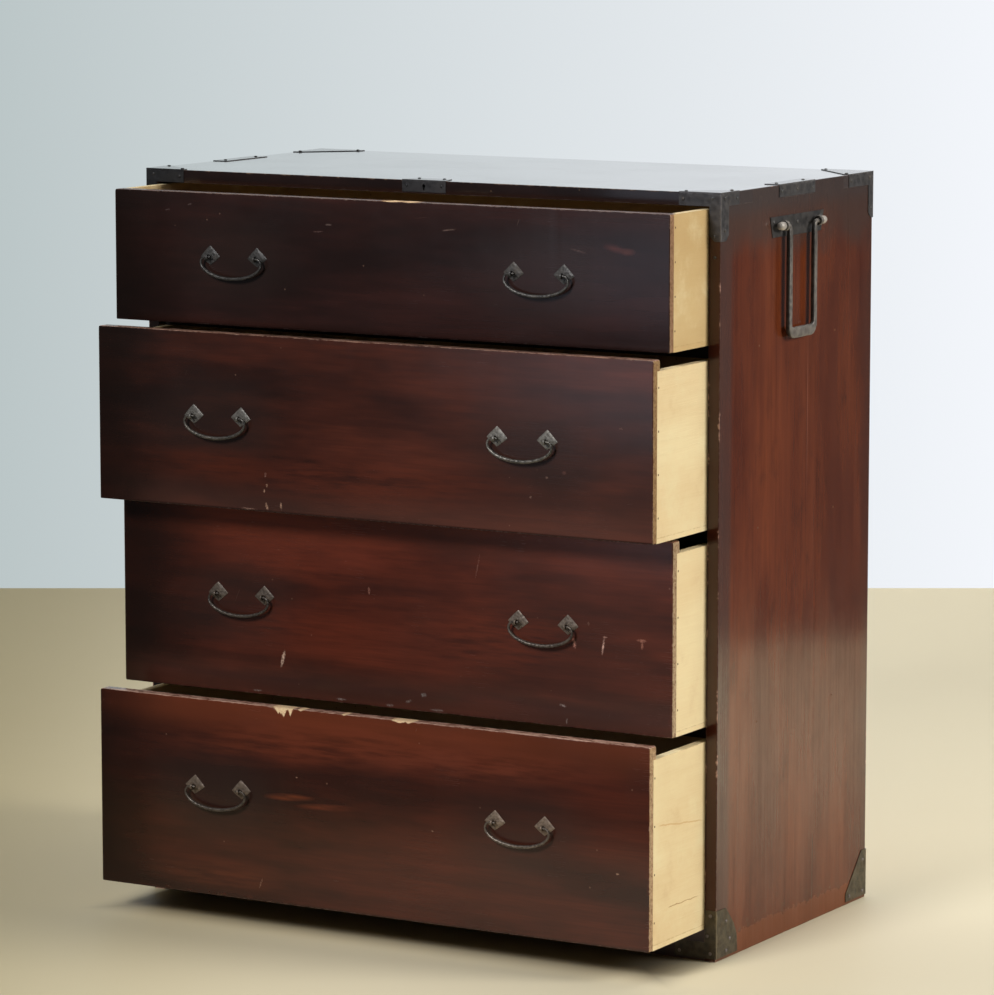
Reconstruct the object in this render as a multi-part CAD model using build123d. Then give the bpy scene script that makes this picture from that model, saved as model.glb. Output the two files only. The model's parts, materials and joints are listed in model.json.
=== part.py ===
from build123d import *
import math
import os

# Isho-dansu: a Japanese clothing chest of four full-width drawers in a lacquered case,
# with forged iron corner plates, drawer bails and a carrying handle on each side.
# Millimetres. X runs to the right, Y to the back, Z up. The origin is on the floor,
# under the middle of the case. The drawers stand partly open, as the chest is shown.

# ---- Case ----
case_width = 910.0
case_depth = 460.0
side_thickness = 17.0
top_thickness = 18.0
edge_rounding = 1.0
base_height = 43.3              # floor of the lowest drawer space
bottom_board_thickness = 15.0
base_rail_thickness = 20.0
bearer_width = 44.0
shelf_thickness = 19.0
housing_depth = 6.0             # how far shelf ends are let into the sides
back_board_thickness = 7.0
back_rabbet = 8.0               # how far back boards lap over sides and top
back_board_count = 3
board_joint_gap = 0.2           # dry joint between two back boards
corner_finger_count = 5         # fingers of the joint between top and sides

# ---- Drawers, numbered from the top ----
drawer_1_front_height = 181.7
drawer_2_front_height = 241.8
drawer_3_front_height = 262.4
drawer_4_front_height = 274.8
drawer_1_reveal = 2.7           # gap above each closed front
drawer_2_reveal = 5.2
drawer_3_reveal = 3.6
drawer_4_reveal = 2.2
drawer_1_opening = 107.0        # how far each drawer stands open
drawer_2_opening = 151.0
drawer_3_opening = 94.0
drawer_4_opening = 156.5
drawer_1_handle_height = 94.4   # handle eyes above the front's lower edge
drawer_2_handle_height = 126.4
drawer_3_handle_height = 137.4
drawer_4_handle_height = 151.9
drawer_side_gap = 1.0           # between a drawer and the case side
drawer_rear_gap = 15.0          # between a closed drawer and the back boards
running_gap = 0.3               # under a drawer
drawer_top_gap = 0.8            # between a drawer side and what is above it
front_thickness = 18.0
front_leaf = 10.0               # wood of the front left before the side's end
front_rounding = 1.0
drawer_side_thickness = 12.0
drawer_back_thickness = 10.0
drawer_back_drop = 10.0         # drawer back is this much lower than its sides
drawer_bottom_thickness = 7.0

# ---- Wooden pegs ----
peg_width = 2.6
peg_length = 26.0
back_peg_length = 22.0

# ---- Iron plates and their nails ----
iron_thickness = 1.0
iron_floor_gap = 4.0            # bottom irons stop this far above the floor
top_iron_arm = 62.0
top_iron_side_arm = 52.0        # arm along the side's upper edge
top_iron_drop = 64.0
top_iron_band = 17.5            # height of the arm along the top board's edge
top_iron_stile = 16.5           # width of the leg down the side's front edge
top_iron_side_leg = 22.0
top_iron_taper = 8.0            # slant at the foot of each leg
back_iron_arm = 76.0
back_iron_leg = 14.0
bottom_iron_height = 70.0
bottom_iron_stile = 16.5
bottom_iron_arm = 62.0
bottom_iron_arm_height = 26.0
bottom_iron_side_length = 61.0
bottom_back_iron_top = 14.0     # narrow upper end of the rear bottom iron
bottom_back_iron_length = 64.0
strap_length = 108.0
strap_side_height = 16.5
strap_top_width = 22.0
nail_head_radius = 2.7
nail_head_height = 1.3
nail_shank_width = 1.8
nail_shank_length = 11.0
nail_edge_distance = 7.0
stile_nail_drop = 85.0          # single nail in the front edge of each side, below its iron

# ---- Lock in the top board ----
lock_plate_width = 69.0
lock_plate_height = 16.0
lock_plate_flange = 28.0        # part of the plate folded on to the top
keyhole_radius = 2.5
keyhole_slot_width = 2.4
keyhole_slot_length = 5.5
lock_case_width = 44.0
lock_case_height = 13.0
lock_case_depth = 18.0
lock_case_wall = 1.5
bolt_width = 18.0
bolt_depth = 6.0
bolt_height = 11.5
bolt_clearance = 0.3
bolt_throw = 8.0
bolt_pocket_depth = 7.0         # pocket in the top drawer's front edge

# ---- Drawer handles ----
handle_offset = 240.5           # middle of each handle from the middle of the front
eye_spacing = 76.4
eye_standoff = 8.0              # pivot line in front of the drawer front
eye_ring_radius = 4.2
eye_width = 3.2
eye_leg_length = 9.0            # split legs bent flat behind the front
eye_leg_thickness = 1.4
plate_half_width = 15.5
plate_rise = 17.0               # upper tip above the eye
plate_drop = 14.5               # lower tip below the eye
plate_waist = 0.40              # how far the plate's concave edges draw in
bail_pin_radius = 1.7
pin_clearance = 0.07
bail_pin_inset = 5.0            # pin end inside the eye
bail_shoulder = 3.2             # straight pin outside the eye
bail_shoulder_radius = 7.5
bail_drop = 29.0                # pivot line down to the middle of the grip
bail_grip_radius = 2.6

# ---- Carrying handles on the sides ----
carry_centre = -6.0             # middle of the handle, from the middle of the side
carry_below_top = 54.5          # pivot line below the top of the case
carry_plate_length = 162.0
carry_plate_height = 28.0
carry_plate_drop = 15.5         # plate's lower edge below the pivot line
carry_standoff = 8.6
carry_bar_spacing = 75.0
carry_bar_width = 8.4
carry_bar_thickness = 6.5
carry_drop = 155.0
carry_grip_height = 15.0
carry_outer_radius = 15.0
carry_inner_radius = 5.0
carry_edge_rounding = 1.6
carry_pin_radius = 3.2
carry_eye_spacing = 102.0
carry_eye_radius = 7.2
carry_eye_width = 7.0
carry_shank_width = 6.0
carry_leg_length = 14.0
carry_leg_thickness = 1.4
carry_leg_recess = 1.8
carry_knob_radius = 5.6
carry_knob_length = 15.0
carry_knob_gap = 1.0            # knob stands clear of the eye

half_width = case_width / 2
half_depth = case_depth / 2
inner_half = half_width - side_thickness
FRONT = -half_depth
BACK = half_depth


class DrawerSize:
    """Where one drawer's front lies and how far it stands open."""

    def __init__(self, number, bottom, front_height, reveal, opening, handle_height):
        self.number = number
        self.bottom = bottom
        self.front_top = bottom + front_height
        self.ceiling = self.front_top + reveal
        self.opening = opening
        self.face = FRONT - opening
        self.handle_level = bottom + handle_height


def stack_drawers():
    """Drawers from the lowest up, each standing on the reveal above the last."""
    rows = [
        (4, drawer_4_front_height, drawer_4_reveal, drawer_4_opening, drawer_4_handle_height),
        (3, drawer_3_front_height, drawer_3_reveal, drawer_3_opening, drawer_3_handle_height),
        (2, drawer_2_front_height, drawer_2_reveal, drawer_2_opening, drawer_2_handle_height),
        (1, drawer_1_front_height, drawer_1_reveal, drawer_1_opening, drawer_1_handle_height),
    ]
    level = base_height + running_gap
    drawers = {}
    for number, front_height, reveal, opening, handle_height in rows:
        drawer = DrawerSize(number, level, front_height, reveal, opening, handle_height)
        drawers[number] = drawer
        level = drawer.ceiling
    return drawers


drawers = stack_drawers()
top_underside = drawers[1].ceiling
case_height = top_underside + top_thickness
carry_height = case_height - carry_below_top
shelf_tops = [drawers[number].bottom - running_gap for number in (1, 2, 3)]
drawer_half = inner_half - drawer_side_gap
drawer_depth = case_depth - back_board_thickness - drawer_rear_gap
shelf_front = FRONT + front_thickness + running_gap
back_inner = BACK - back_board_thickness


def side_top_of(drawer):
    """Upper edge of a drawer's sides, just under the shelf or the top board."""
    if drawer.number == 1:
        return top_underside - drawer_1_reveal - drawer_top_gap
    return shelf_tops[drawer.number - 2] - shelf_thickness - drawer_top_gap


def block(x0, x1, y0, y1, z0, z1):
    """A box between two corners."""
    middle = Pos((x0 + x1) / 2, (y0 + y1) / 2, (z0 + z1) / 2)
    return middle * Box(abs(x1 - x0), abs(y1 - y0), abs(z1 - z0))


def mirror_x(shape):
    return mirror(shape, about=Plane.YZ)


def boxes_meet(one, other):
    """True where two bounding boxes touch or overlap."""
    a = one.bounding_box()
    b = other.bounding_box()
    apart_x = a.max.X < b.min.X or b.max.X < a.min.X
    apart_y = a.max.Y < b.min.Y or b.max.Y < a.min.Y
    apart_z = a.max.Z < b.min.Z or b.max.Z < a.min.Z
    return not (apart_x or apart_y or apart_z)


def cut(shape, tools):
    """Take away the tools that reach the shape."""
    reaching = [tool for tool in tools if boxes_meet(shape, tool)]
    if reaching:
        shape = shape - reaching
    return shape


def save(name, shapes):
    """Write one node: a single solid, or a group of separate ones."""
    solids = []
    for shape in shapes:
        solids.extend(shape.solids())
    for solid in solids:
        solid.label = name
    if len(solids) == 1:
        export_step(solids[0], f"parts/{name}.step")
    else:
        export_step(Compound(label=name, children=solids), f"parts/{name}.step")


# ---- Wooden pegs and iron nails ----

def square_pin(point, direction, length, width):
    """A square pin from a point on a surface into the wood."""
    place = Plane(origin=point, z_dir=direction, x_dir=pin_side(direction))
    return place * Pos(0, 0, length / 2) * Box(width, width, length)


def pin_side(direction):
    """A direction square to a pin, so that its faces lie along the boards."""
    if abs(direction[0]) > 0.5:
        return (0, 1, 0)
    return (1, 0, 0)


def make_nail():
    """Domed nail head on the plane Z = 0, with a square shank below it."""
    sphere_radius = (nail_head_radius ** 2 + nail_head_height ** 2) / (2 * nail_head_height)
    ball = Pos(0, 0, nail_head_height - sphere_radius) * Sphere(sphere_radius)
    head = ball & Pos(0, 0, nail_head_height / 2) * Box(sphere_radius * 2, sphere_radius * 2, nail_head_height)
    shank = Pos(0, 0, -nail_shank_length / 2) * Box(nail_shank_width, nail_shank_width, nail_shank_length)
    return head + shank, shank


nail_blank, shank_blank = make_nail()


class Nail:
    """One nail: the whole piece, and its shank for the hole it makes."""

    def __init__(self, point, outward):
        place = Plane(origin=point, z_dir=outward, x_dir=pin_side(outward))
        self.solid = place * nail_blank
        self.shank = place * shank_blank

    def mirrored(self, plane):
        copy = Nail.__new__(Nail)
        copy.solid = mirror(self.solid, about=plane)
        copy.shank = mirror(self.shank, about=plane)
        return copy


# ---- Iron plates, cut from sheet and folded round the case's corners ----

front_plane = Plane(origin=(0, FRONT, 0), x_dir=(1, 0, 0), z_dir=(0, -1, 0))
side_plane = Plane(origin=(half_width, 0, 0), x_dir=(0, 1, 0), z_dir=(1, 0, 0))
top_plane = Plane(origin=(0, 0, case_height), x_dir=(1, 0, 0), z_dir=(0, 0, 1))
FOLD = -iron_thickness          # outlines start one thickness outside the corner


def sheet(plane, points):
    return extrude(plane * make_face(Polyline(*points, close=True)), iron_thickness)


def corner_iron(level, rising, front, side, top=None):
    """Iron for the front right corner. Outlines and nails are measured from the corner."""
    pieces = [
        sheet(front_plane, [(half_width - u, level + rising * v) for u, v in front]),
        sheet(side_plane, [(FRONT + u, level + rising * v) for u, v in side]),
    ]
    if top:
        pieces.append(sheet(top_plane, [(half_width - u, FRONT + v) for u, v in top]))
    iron = pieces[0]
    for piece in pieces[1:]:
        iron = iron + piece
    return iron


def corner_nails(level, rising, front, side, top=()):
    """Nails of a front right corner iron, measured like its outlines."""
    nails = []
    for u, v in front:
        point = (half_width - u, FRONT - iron_thickness, level + rising * v)
        nails.append(Nail(point, (0, -1, 0)))
    for u, v in side:
        point = (half_width + iron_thickness, FRONT + u, level + rising * v)
        nails.append(Nail(point, (1, 0, 0)))
    for u, v in top:
        point = (half_width - u, FRONT + v, case_height + iron_thickness)
        nails.append(Nail(point, (0, 0, 1)))
    return nails


def l_outline(arm, band, leg, drop, taper):
    """An arm along the top edge and a leg down the corner, slanted at its foot."""
    return [(FOLD, FOLD), (arm, FOLD), (arm, band), (leg, band), (leg, drop - taper),
            (leg - taper, drop), (FOLD, drop)]


def triangle_outline(along_x, along_y):
    """The part of a corner iron that lies on top, with a blunt tip on each edge."""
    tip = top_iron_taper
    return [(FOLD, FOLD), (along_x, FOLD), (along_x, tip), (tip, along_y), (FOLD, along_y)]


def make_irons():
    """Right-hand irons, then the same for the left, front and back."""
    far = nail_edge_distance
    mid_band = top_iron_band / 2
    front_leg = l_outline(top_iron_arm, top_iron_band, top_iron_stile, top_iron_drop, top_iron_taper)
    side_leg = l_outline(top_iron_side_arm, top_iron_band, top_iron_side_leg, top_iron_drop, top_iron_taper)
    top_tip = triangle_outline(top_iron_arm, top_iron_side_arm)
    top_front = corner_iron(case_height, -1, front_leg, side_leg, top_tip)
    leg_nail = top_iron_drop - far
    top_front_nails = corner_nails(
        case_height, -1,
        [(top_iron_arm - far, mid_band), (far * 1.6, far), (top_iron_stile / 2, leg_nail)],
        [(top_iron_side_arm - far, mid_band), (far * 1.6, far), (top_iron_side_leg / 2, leg_nail - far)],
        [(top_iron_arm - far, far), (far, top_iron_side_arm - far)])
    stile_nail = Nail((half_width - top_iron_stile / 2, FRONT, case_height - stile_nail_drop), (0, -1, 0))

    back_leg = l_outline(back_iron_arm, top_iron_band, back_iron_leg, top_iron_drop, top_iron_taper)
    back_tip = triangle_outline(back_iron_arm, back_iron_arm)
    top_back = corner_iron(case_height, -1, back_leg, back_leg, back_tip)
    back_face_nails = [(back_iron_arm - far, mid_band), (far * 1.6, far), (back_iron_leg / 2, leg_nail - far)]
    top_back_nails = corner_nails(
        case_height, -1, back_face_nails, back_face_nails,
        [(back_iron_arm - far, far), (far, back_iron_arm - far)])

    low = iron_floor_gap
    high = bottom_iron_height
    length = bottom_iron_side_length
    stile_outline = [(FOLD, low), (bottom_iron_arm, low), (bottom_iron_arm, bottom_iron_arm_height),
                     (bottom_iron_stile, bottom_iron_arm_height), (bottom_iron_stile, high), (FOLD, high)]
    flank_outline = [(FOLD, low), (length, low), (length * 0.97, high * 0.39), (length * 0.82, high * 0.64),
                     (length * 0.55, high * 0.90), (length * 0.43, high), (FOLD, high)]
    bottom_front = corner_iron(0, 1, stile_outline, flank_outline)
    bottom_front_nails = corner_nails(
        0, 1,
        [(bottom_iron_stile / 2, high - far), (bottom_iron_stile / 2, low + far),
         (bottom_iron_stile - far / 2, high / 2), (bottom_iron_arm - far, low + far)],
        [(length * 0.45, high * 0.74), (length * 0.45, low + far), (length * 0.62, high * 0.37)])

    rear = bottom_back_iron_length
    rear_outline = [(FOLD, low), (rear, low), (rear, high * 0.22), (bottom_back_iron_top, high), (FOLD, high)]
    bottom_back = corner_iron(0, 1, rear_outline, rear_outline)
    rear_nails = [(rear - far * 1.6, low + far), (far * 1.5, high - far * 2), (far * 1.5, low + far)]
    bottom_back_nails = corner_nails(0, 1, rear_nails, rear_nails)

    turn = Plane.XZ
    right = {
        "top_corner_irons": [top_front, mirror(top_back, about=turn)],
        "bottom_corner_irons": [bottom_front, mirror(bottom_back, about=turn)],
    }
    right_nails = top_front_nails + [stile_nail] + bottom_front_nails
    for item in top_back_nails + bottom_back_nails:
        right_nails.append(item.mirrored(turn))
    return right, right_nails


def make_straps():
    """Iron strap folded over the middle of each top edge, with its nails."""
    low = carry_centre - strap_length / 2
    high = carry_centre + strap_length / 2
    side_bottom = case_height - strap_side_height
    crest = case_height + iron_thickness
    outer = half_width + iron_thickness
    flank = sheet(side_plane, [(low, side_bottom), (high, side_bottom), (high, crest), (low, crest)])
    inner = half_width - strap_top_width
    cover = sheet(top_plane, [(inner, low), (outer, low), (outer, high), (inner, high)])
    nails = []
    mid_height = case_height - strap_side_height / 2
    for y in (low + nail_edge_distance, carry_centre, high - nail_edge_distance):
        nails.append(Nail((outer, y, mid_height), (1, 0, 0)))
    for y in (low + nail_edge_distance * 2, high - nail_edge_distance * 2):
        nails.append(Nail((half_width - strap_top_width / 2, y, crest), (0, 0, 1)))
    return flank + cover, nails


# ---- Lock: plate, case and bolt in the middle of the top board ----

lock_level = case_height - 1.0 - lock_plate_height / 2
bolt_y = FRONT + front_thickness / 2 + 2
bolt_bottom = top_underside + 0.2


def make_lock():
    crest = case_height + iron_thickness
    half = lock_plate_width / 2
    lower = case_height - lock_plate_height
    face = sheet(front_plane, [(-half, lower), (half, lower), (half, crest), (-half, crest)])
    flange_front = FRONT - iron_thickness
    flange_back = FRONT + lock_plate_flange
    inset = nail_edge_distance
    flange = sheet(top_plane, [(-half, flange_front), (half, flange_front),
                               (half - inset, flange_back), (inset - half, flange_back)])
    hole_height = lock_level + 1.5
    to_front = Rot(90, 0, 0) * Cylinder(keyhole_radius, lock_case_depth)
    keyhole = Pos(0, FRONT, hole_height) * to_front
    slot_half = keyhole_slot_width / 2
    keyhole = keyhole + block(-slot_half, slot_half, FRONT - lock_case_depth / 2, FRONT + lock_case_depth / 2,
                              hole_height - keyhole_slot_length, hole_height)
    nails = []
    for x in (inset - half, half - inset):
        nails.append(Nail((x, flange_front, lock_level + 2), (0, -1, 0)))
        nails.append(Nail((x * 0.72, FRONT + lock_plate_flange - inset, crest), (0, 0, 1)))
    plate = cut(face + flange - keyhole, [item.shank for item in nails])

    wide = lock_case_width / 2
    case_bottom = top_underside + (top_thickness - lock_case_height) / 2
    mortise = block(-wide, wide, FRONT, FRONT + lock_case_depth, case_bottom, case_bottom + lock_case_height)
    wall = lock_case_wall
    hollow = block(wall - wide, wide - wall, FRONT + wall, FRONT + lock_case_depth - wall,
                   case_bottom + wall, case_bottom + lock_case_height - wall)
    bolt_half = bolt_width / 2 + bolt_clearance
    deep = bolt_depth / 2 + bolt_clearance
    bolt_way = block(-bolt_half, bolt_half, bolt_y - deep, bolt_y + deep, top_underside - 1, case_bottom + wall * 2)
    shell = mortise - hollow - bolt_way - keyhole
    bolt = block(-bolt_width / 2, bolt_width / 2, bolt_y - bolt_depth / 2, bolt_y + bolt_depth / 2,
                 bolt_bottom, bolt_bottom + bolt_height)
    pocket = block(-bolt_half, bolt_half, bolt_y - deep, bolt_y + deep,
                   drawers[1].front_top - bolt_pocket_depth, drawers[1].front_top + 1)
    return plate, shell, bolt, nails, mortise + bolt_way, pocket


# ---- Carrying handle, made for the right side ----

def rounded_rectangle(width, height, lower_radius, upper_radius):
    """Outline with its own rounding at the foot and at the head."""
    face = Rectangle(width, height)
    corners = face.vertices().sort_by(Axis.Y)
    face = fillet(corners[:2], lower_radius)
    if upper_radius:
        face = fillet(face.vertices().sort_by(Axis.Y)[-2:], upper_radius)
    return face


def make_carry_bail():
    x = half_width + carry_standoff
    head = carry_pin_radius
    outer_width = carry_bar_spacing + carry_bar_width
    outer_height = carry_drop + head
    outer = Pos(0, (head - carry_drop) / 2) * rounded_rectangle(
        outer_width, outer_height, carry_outer_radius, head * 0.9)
    inner_width = carry_bar_spacing - carry_bar_width
    inner_top = head + carry_bar_width
    inner_bottom = carry_grip_height - carry_drop
    inner = Pos(0, (inner_top + inner_bottom) / 2) * rounded_rectangle(
        inner_width, inner_top - inner_bottom, carry_inner_radius, 0)
    profile = outer - inner
    plane = Plane(origin=(x, carry_centre, carry_height), x_dir=(0, 1, 0), z_dir=(1, 0, 0))
    bail = extrude(plane * profile, carry_bar_thickness / 2, both=True)
    faces = bail.faces().sort_by(Axis.X)
    bail = fillet(faces[0].edges() + faces[-1].edges(), carry_edge_rounding)
    bar_outside = outer_width / 2
    knob_start = (carry_eye_spacing + carry_eye_width) / 2 + carry_knob_gap
    pin_start = bar_outside - carry_bar_width / 2
    for side in (-1, 1):
        pin_length = knob_start - pin_start
        pin_middle = carry_centre + side * (pin_start + pin_length / 2)
        pin = Pos(x, pin_middle, carry_height) * Rot(90, 0, 0) * Cylinder(carry_pin_radius, pin_length)
        knob = make_knob(x, carry_centre + side * knob_start, side)
        bail = bail + pin + knob
    return bail


def make_knob(x, y, side):
    """Domed end of the handle, forged after it was passed through the eye."""
    r = carry_knob_radius
    straight = carry_knob_length - r
    barrel = Pos(x, y + side * straight / 2, carry_height) * Rot(90, 0, 0) * Cylinder(r, straight)
    dome = Pos(x, y + side * straight, carry_height) * Sphere(r)
    return barrel + dome


def make_carry_eye(y):
    """Ring on a square shank, driven through the side and bent over inside it."""
    x = half_width + carry_standoff
    inside = inner_half + carry_leg_recess - carry_leg_thickness
    half = carry_shank_width / 2
    ring = Pos(x, y, carry_height) * Rot(90, 0, 0) * Cylinder(carry_eye_radius, carry_eye_width)
    shank = block(inside, x, y - half, y + half, carry_height - half, carry_height + half)
    legs = block(inside, inside + carry_leg_thickness, y - half, y + half,
                 carry_height - carry_leg_length, carry_height + carry_leg_length)
    hole = Pos(x, y, carry_height) * Rot(90, 0, 0) * Cylinder(
        carry_pin_radius + pin_clearance, carry_eye_width * 2)
    recess = block(inner_half, inner_half + carry_leg_recess, y - half, y + half,
                   carry_height - carry_leg_length, carry_height + carry_leg_length)
    return ring + shank + legs - hole, recess, shank


def make_carry_fittings():
    """Plate, eyes and bail of the right side, with what is cut out for them."""
    low = carry_centre - carry_plate_length / 2
    high = carry_centre + carry_plate_length / 2
    bottom = carry_height - carry_plate_drop
    top = bottom + carry_plate_height
    taper = top_iron_taper
    plate = sheet(side_plane, [(low + taper, bottom), (high - taper, bottom), (high, top), (low, top)])
    outside = half_width + iron_thickness
    nails = [Nail((outside, carry_centre, carry_height + nail_shank_width), (1, 0, 0))]
    for y in (low + nail_edge_distance * 1.5, high - nail_edge_distance * 1.5):
        nails.append(Nail((outside, y, top - nail_edge_distance), (1, 0, 0)))
    eyes = []
    holes = []
    for side in (-1, 1):
        eye, recess, shank = make_carry_eye(carry_centre + side * carry_eye_spacing / 2)
        eyes.append(eye)
        holes.extend([recess, shank])
    return plate, eyes, make_carry_bail(), nails, holes


# ---- Drawer handles ----

def make_handle_plate():
    """Four-pointed plate with edges drawn in towards the eye, on the plane Y = 0."""
    waist = plate_waist
    upper = (plate_half_width * waist, plate_rise * waist)
    lower = (plate_half_width * waist, -plate_drop * waist)
    right = [(0, plate_rise), upper, (plate_half_width, 0), lower, (0, -plate_drop)]
    left = [(-u, v) for u, v in reversed(right[1:-1])]
    outline = make_face(Polyline(*right, *left, close=True))
    plane = Plane(origin=(0, 0, 0), x_dir=(1, 0, 0), z_dir=(0, -1, 0))
    return extrude(plane * outline, iron_thickness) - Box(eye_width, iron_thickness * 3, eye_width)


def make_eye():
    """Ring on a shank that runs through the front, its two legs bent flat inside."""
    half = eye_width / 2
    inner = eye_standoff + front_thickness
    ring = Rot(0, 90, 0) * Cylinder(eye_ring_radius, eye_width)
    shank = block(-half, half, 0, inner, -half, half)
    legs = block(-half, half, inner, inner + eye_leg_thickness, -eye_leg_length, eye_leg_length)
    hole = Rot(0, 90, 0) * Cylinder(bail_pin_radius + pin_clearance, eye_width * 2)
    return ring + shank + legs - hole, shank


def bow_stations():
    """Centre, direction and radius of the bail along its bow, from right to left."""
    start = eye_spacing / 2 + bail_shoulder
    bend = bail_shoulder_radius
    across = start + bend
    deep = bail_drop - bend
    stations = []
    for degrees in (0, 30, 60):
        angle = math.radians(degrees)
        centre = (start + bend * math.sin(angle), bend * math.cos(angle) - bend)
        stations.append((centre, (math.cos(angle), -math.sin(angle)), bail_pin_radius))
    for degrees in range(0, 181, 15):
        angle = math.radians(degrees)
        centre = (across * math.cos(angle), -bend - deep * math.sin(angle))
        direction = (-across * math.sin(angle), -deep * math.cos(angle))
        radius = bail_pin_radius + (bail_grip_radius - bail_pin_radius) * math.sin(angle)
        stations.append((centre, direction, radius))
    for degrees in (60, 30, 0):
        angle = math.radians(degrees)
        centre = (-start - bend * math.sin(angle), bend * math.cos(angle) - bend)
        stations.append((centre, (math.cos(angle), math.sin(angle)), bail_pin_radius))
    return stations


def make_bail():
    """Forged bail: a bow that thickens to its middle, its ends turned in through the eyes."""
    sections = []
    for (u, v), (du, dv), radius in bow_stations():
        plane = Plane(origin=(u, 0, v), x_dir=(0, 1, 0), z_dir=(du, 0, dv))
        sections.append(plane * Circle(radius))
    bail = loft(sections)
    inner_end = eye_spacing / 2 - bail_pin_inset
    outer_end = eye_spacing / 2 + bail_shoulder
    for side in (-1, 1):
        middle = side * (inner_end + outer_end) / 2
        bail = bail + Pos(middle, 0, 0) * Rot(0, 90, 0) * Cylinder(bail_pin_radius, outer_end - inner_end)
    return bail


plate_blank = make_handle_plate()
eye_blank, eye_shank = make_eye()
bail_blank = make_bail()


# ---- Drawers ----

def drawer_pegs(drawer):
    """Wooden pegs that hold one drawer together."""
    lap_y = drawer.face + (front_leaf + front_thickness) / 2
    rear = drawer.face + drawer_depth
    back_y = rear - drawer_back_thickness / 2
    floor = drawer.bottom + drawer_bottom_thickness
    side_height = side_top_of(drawer) - floor
    pegs = []
    for side in (-1, 1):
        outside = side * drawer_half
        for share in (0.12, 0.38, 0.64, 0.90):
            z = floor + side_height * share
            pegs.append(square_pin((outside, lap_y, z), (-side, 0, 0), peg_length, peg_width))
        for share in (0.2, 0.5, 0.8):
            z = floor + (side_height - drawer_back_drop) * share
            pegs.append(square_pin((outside, back_y, z), (-side, 0, 0), peg_length, peg_width))
        under_side = side * (drawer_half - drawer_side_thickness / 2)
        for share in (0.12, 0.37, 0.62, 0.87):
            y = drawer.face + drawer_depth * share
            pegs.append(square_pin((under_side, y, drawer.bottom), (0, 0, 1), peg_length, peg_width))
    for x in (-drawer_half / 2, 0, drawer_half / 2):
        pegs.append(square_pin((x, lap_y, drawer.bottom), (0, 0, 1), peg_length, peg_width))
        pegs.append(square_pin((x, back_y, drawer.bottom), (0, 0, 1), peg_length, peg_width))
    return pegs


def make_drawer(drawer, bolt_pocket):
    name = f"drawer_{drawer.number}"
    face = drawer.face
    lap = face + front_leaf
    inner = face + front_thickness
    rear = face + drawer_depth
    floor = drawer.bottom + drawer_bottom_thickness
    side_top = side_top_of(drawer)
    inside = drawer_half - drawer_side_thickness
    pegs = drawer_pegs(drawer)

    front = block(-drawer_half, drawer_half, face, inner, drawer.bottom, drawer.front_top)
    front = fillet(front.faces().sort_by(Axis.Y)[0].edges(), front_rounding)
    front = front - block(-drawer_half, drawer_half, lap, inner, drawer.bottom, floor)
    for side in (-1, 1):
        front = front - block(side * inside, side * drawer_half, lap, inner, floor, side_top)
    if drawer.number == 1:
        front = front - Pos(0, -drawer.opening, 0) * bolt_pocket

    plates = []
    eyes = []
    shanks = []
    for side in (-1, 1):
        for end in (-1, 1):
            x = side * handle_offset + end * eye_spacing / 2
            pivot = Pos(x, face - eye_standoff, drawer.handle_level)
            plates.append(Pos(x, face, drawer.handle_level) * plate_blank)
            eyes.append(pivot * eye_blank)
            shanks.append(pivot * eye_shank)

    side_board = block(inside, drawer_half, lap, rear, floor, side_top)
    back = block(-inside, inside, rear - drawer_back_thickness, rear, floor, side_top - drawer_back_drop)
    bottom = block(-drawer_half, drawer_half, lap, rear, drawer.bottom, floor)

    save(f"{name}_front", [cut(cut(front, shanks), pegs)])
    save(f"{name}_side_right", [cut(side_board, pegs)])
    save(f"{name}_side_left", [cut(mirror_x(side_board), pegs)])
    save(f"{name}_back", [cut(back, pegs)])
    save(f"{name}_bottom", [cut(bottom, pegs)])
    save(f"{name}_pegs", pegs)
    save(f"{name}_handle_plates", plates)
    save(f"{name}_handle_eyes", eyes)
    for side, label in ((-1, "left"), (1, "right")):
        pivot = Pos(side * handle_offset, face - eye_standoff, drawer.handle_level)
        save(f"{name}_bail_{label}", [pivot * bail_blank])


# ---- Case ----

def corner_fingers(parity):
    """Space of every second finger of the joint at the right, over the board's depth."""
    pitch = case_depth / corner_finger_count
    fingers = []
    for index in range(corner_finger_count):
        if index % 2 == parity:
            y0 = FRONT + index * pitch
            fingers.append(block(inner_half, half_width + 1, y0, y0 + pitch, top_underside, case_height + 1))
    return fingers


def shelf_blocks():
    """The three shelves and the bottom board, with their ends in the housings."""
    reach = inner_half + housing_depth
    boards = []
    for top in shelf_tops:
        boards.append(block(-reach, reach, shelf_front, back_inner, top - shelf_thickness, top))
    bottom = block(-reach, reach, FRONT + base_rail_thickness, back_inner,
                   base_height - bottom_board_thickness, base_height)
    return boards, bottom


def make_back_boards():
    width = 2 * (inner_half + back_rabbet)
    each = width / back_board_count
    upper = top_underside + back_rabbet
    boards = []
    for index in range(back_board_count):
        x0 = -width / 2 + index * each
        gap = board_joint_gap if index else 0
        boards.append(block(x0 + gap, x0 + each, back_inner, BACK, 0, upper))
    return boards


def case_pegs():
    """Pegs through the back boards into the shelves, and through the sides into them."""
    pegs = []
    width = 2 * (inner_half + back_rabbet)
    each = width / back_board_count
    levels = [top - shelf_thickness / 2 for top in shelf_tops]
    levels.append(base_height - bottom_board_thickness / 2)
    for index in range(back_board_count):
        for share in (0.2, 0.8):
            x = -width / 2 + each * (index + share)
            for z in levels:
                pegs.append(square_pin((x, BACK, z), (0, -1, 0), back_peg_length, peg_width))
    for side in (-1, 1):
        for y in (FRONT + case_depth / 4, FRONT + case_depth * 3 / 4):
            for z in levels:
                pegs.append(square_pin((side * half_width, y, z), (-side, 0, 0), peg_length, peg_width))
    return pegs


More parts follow.
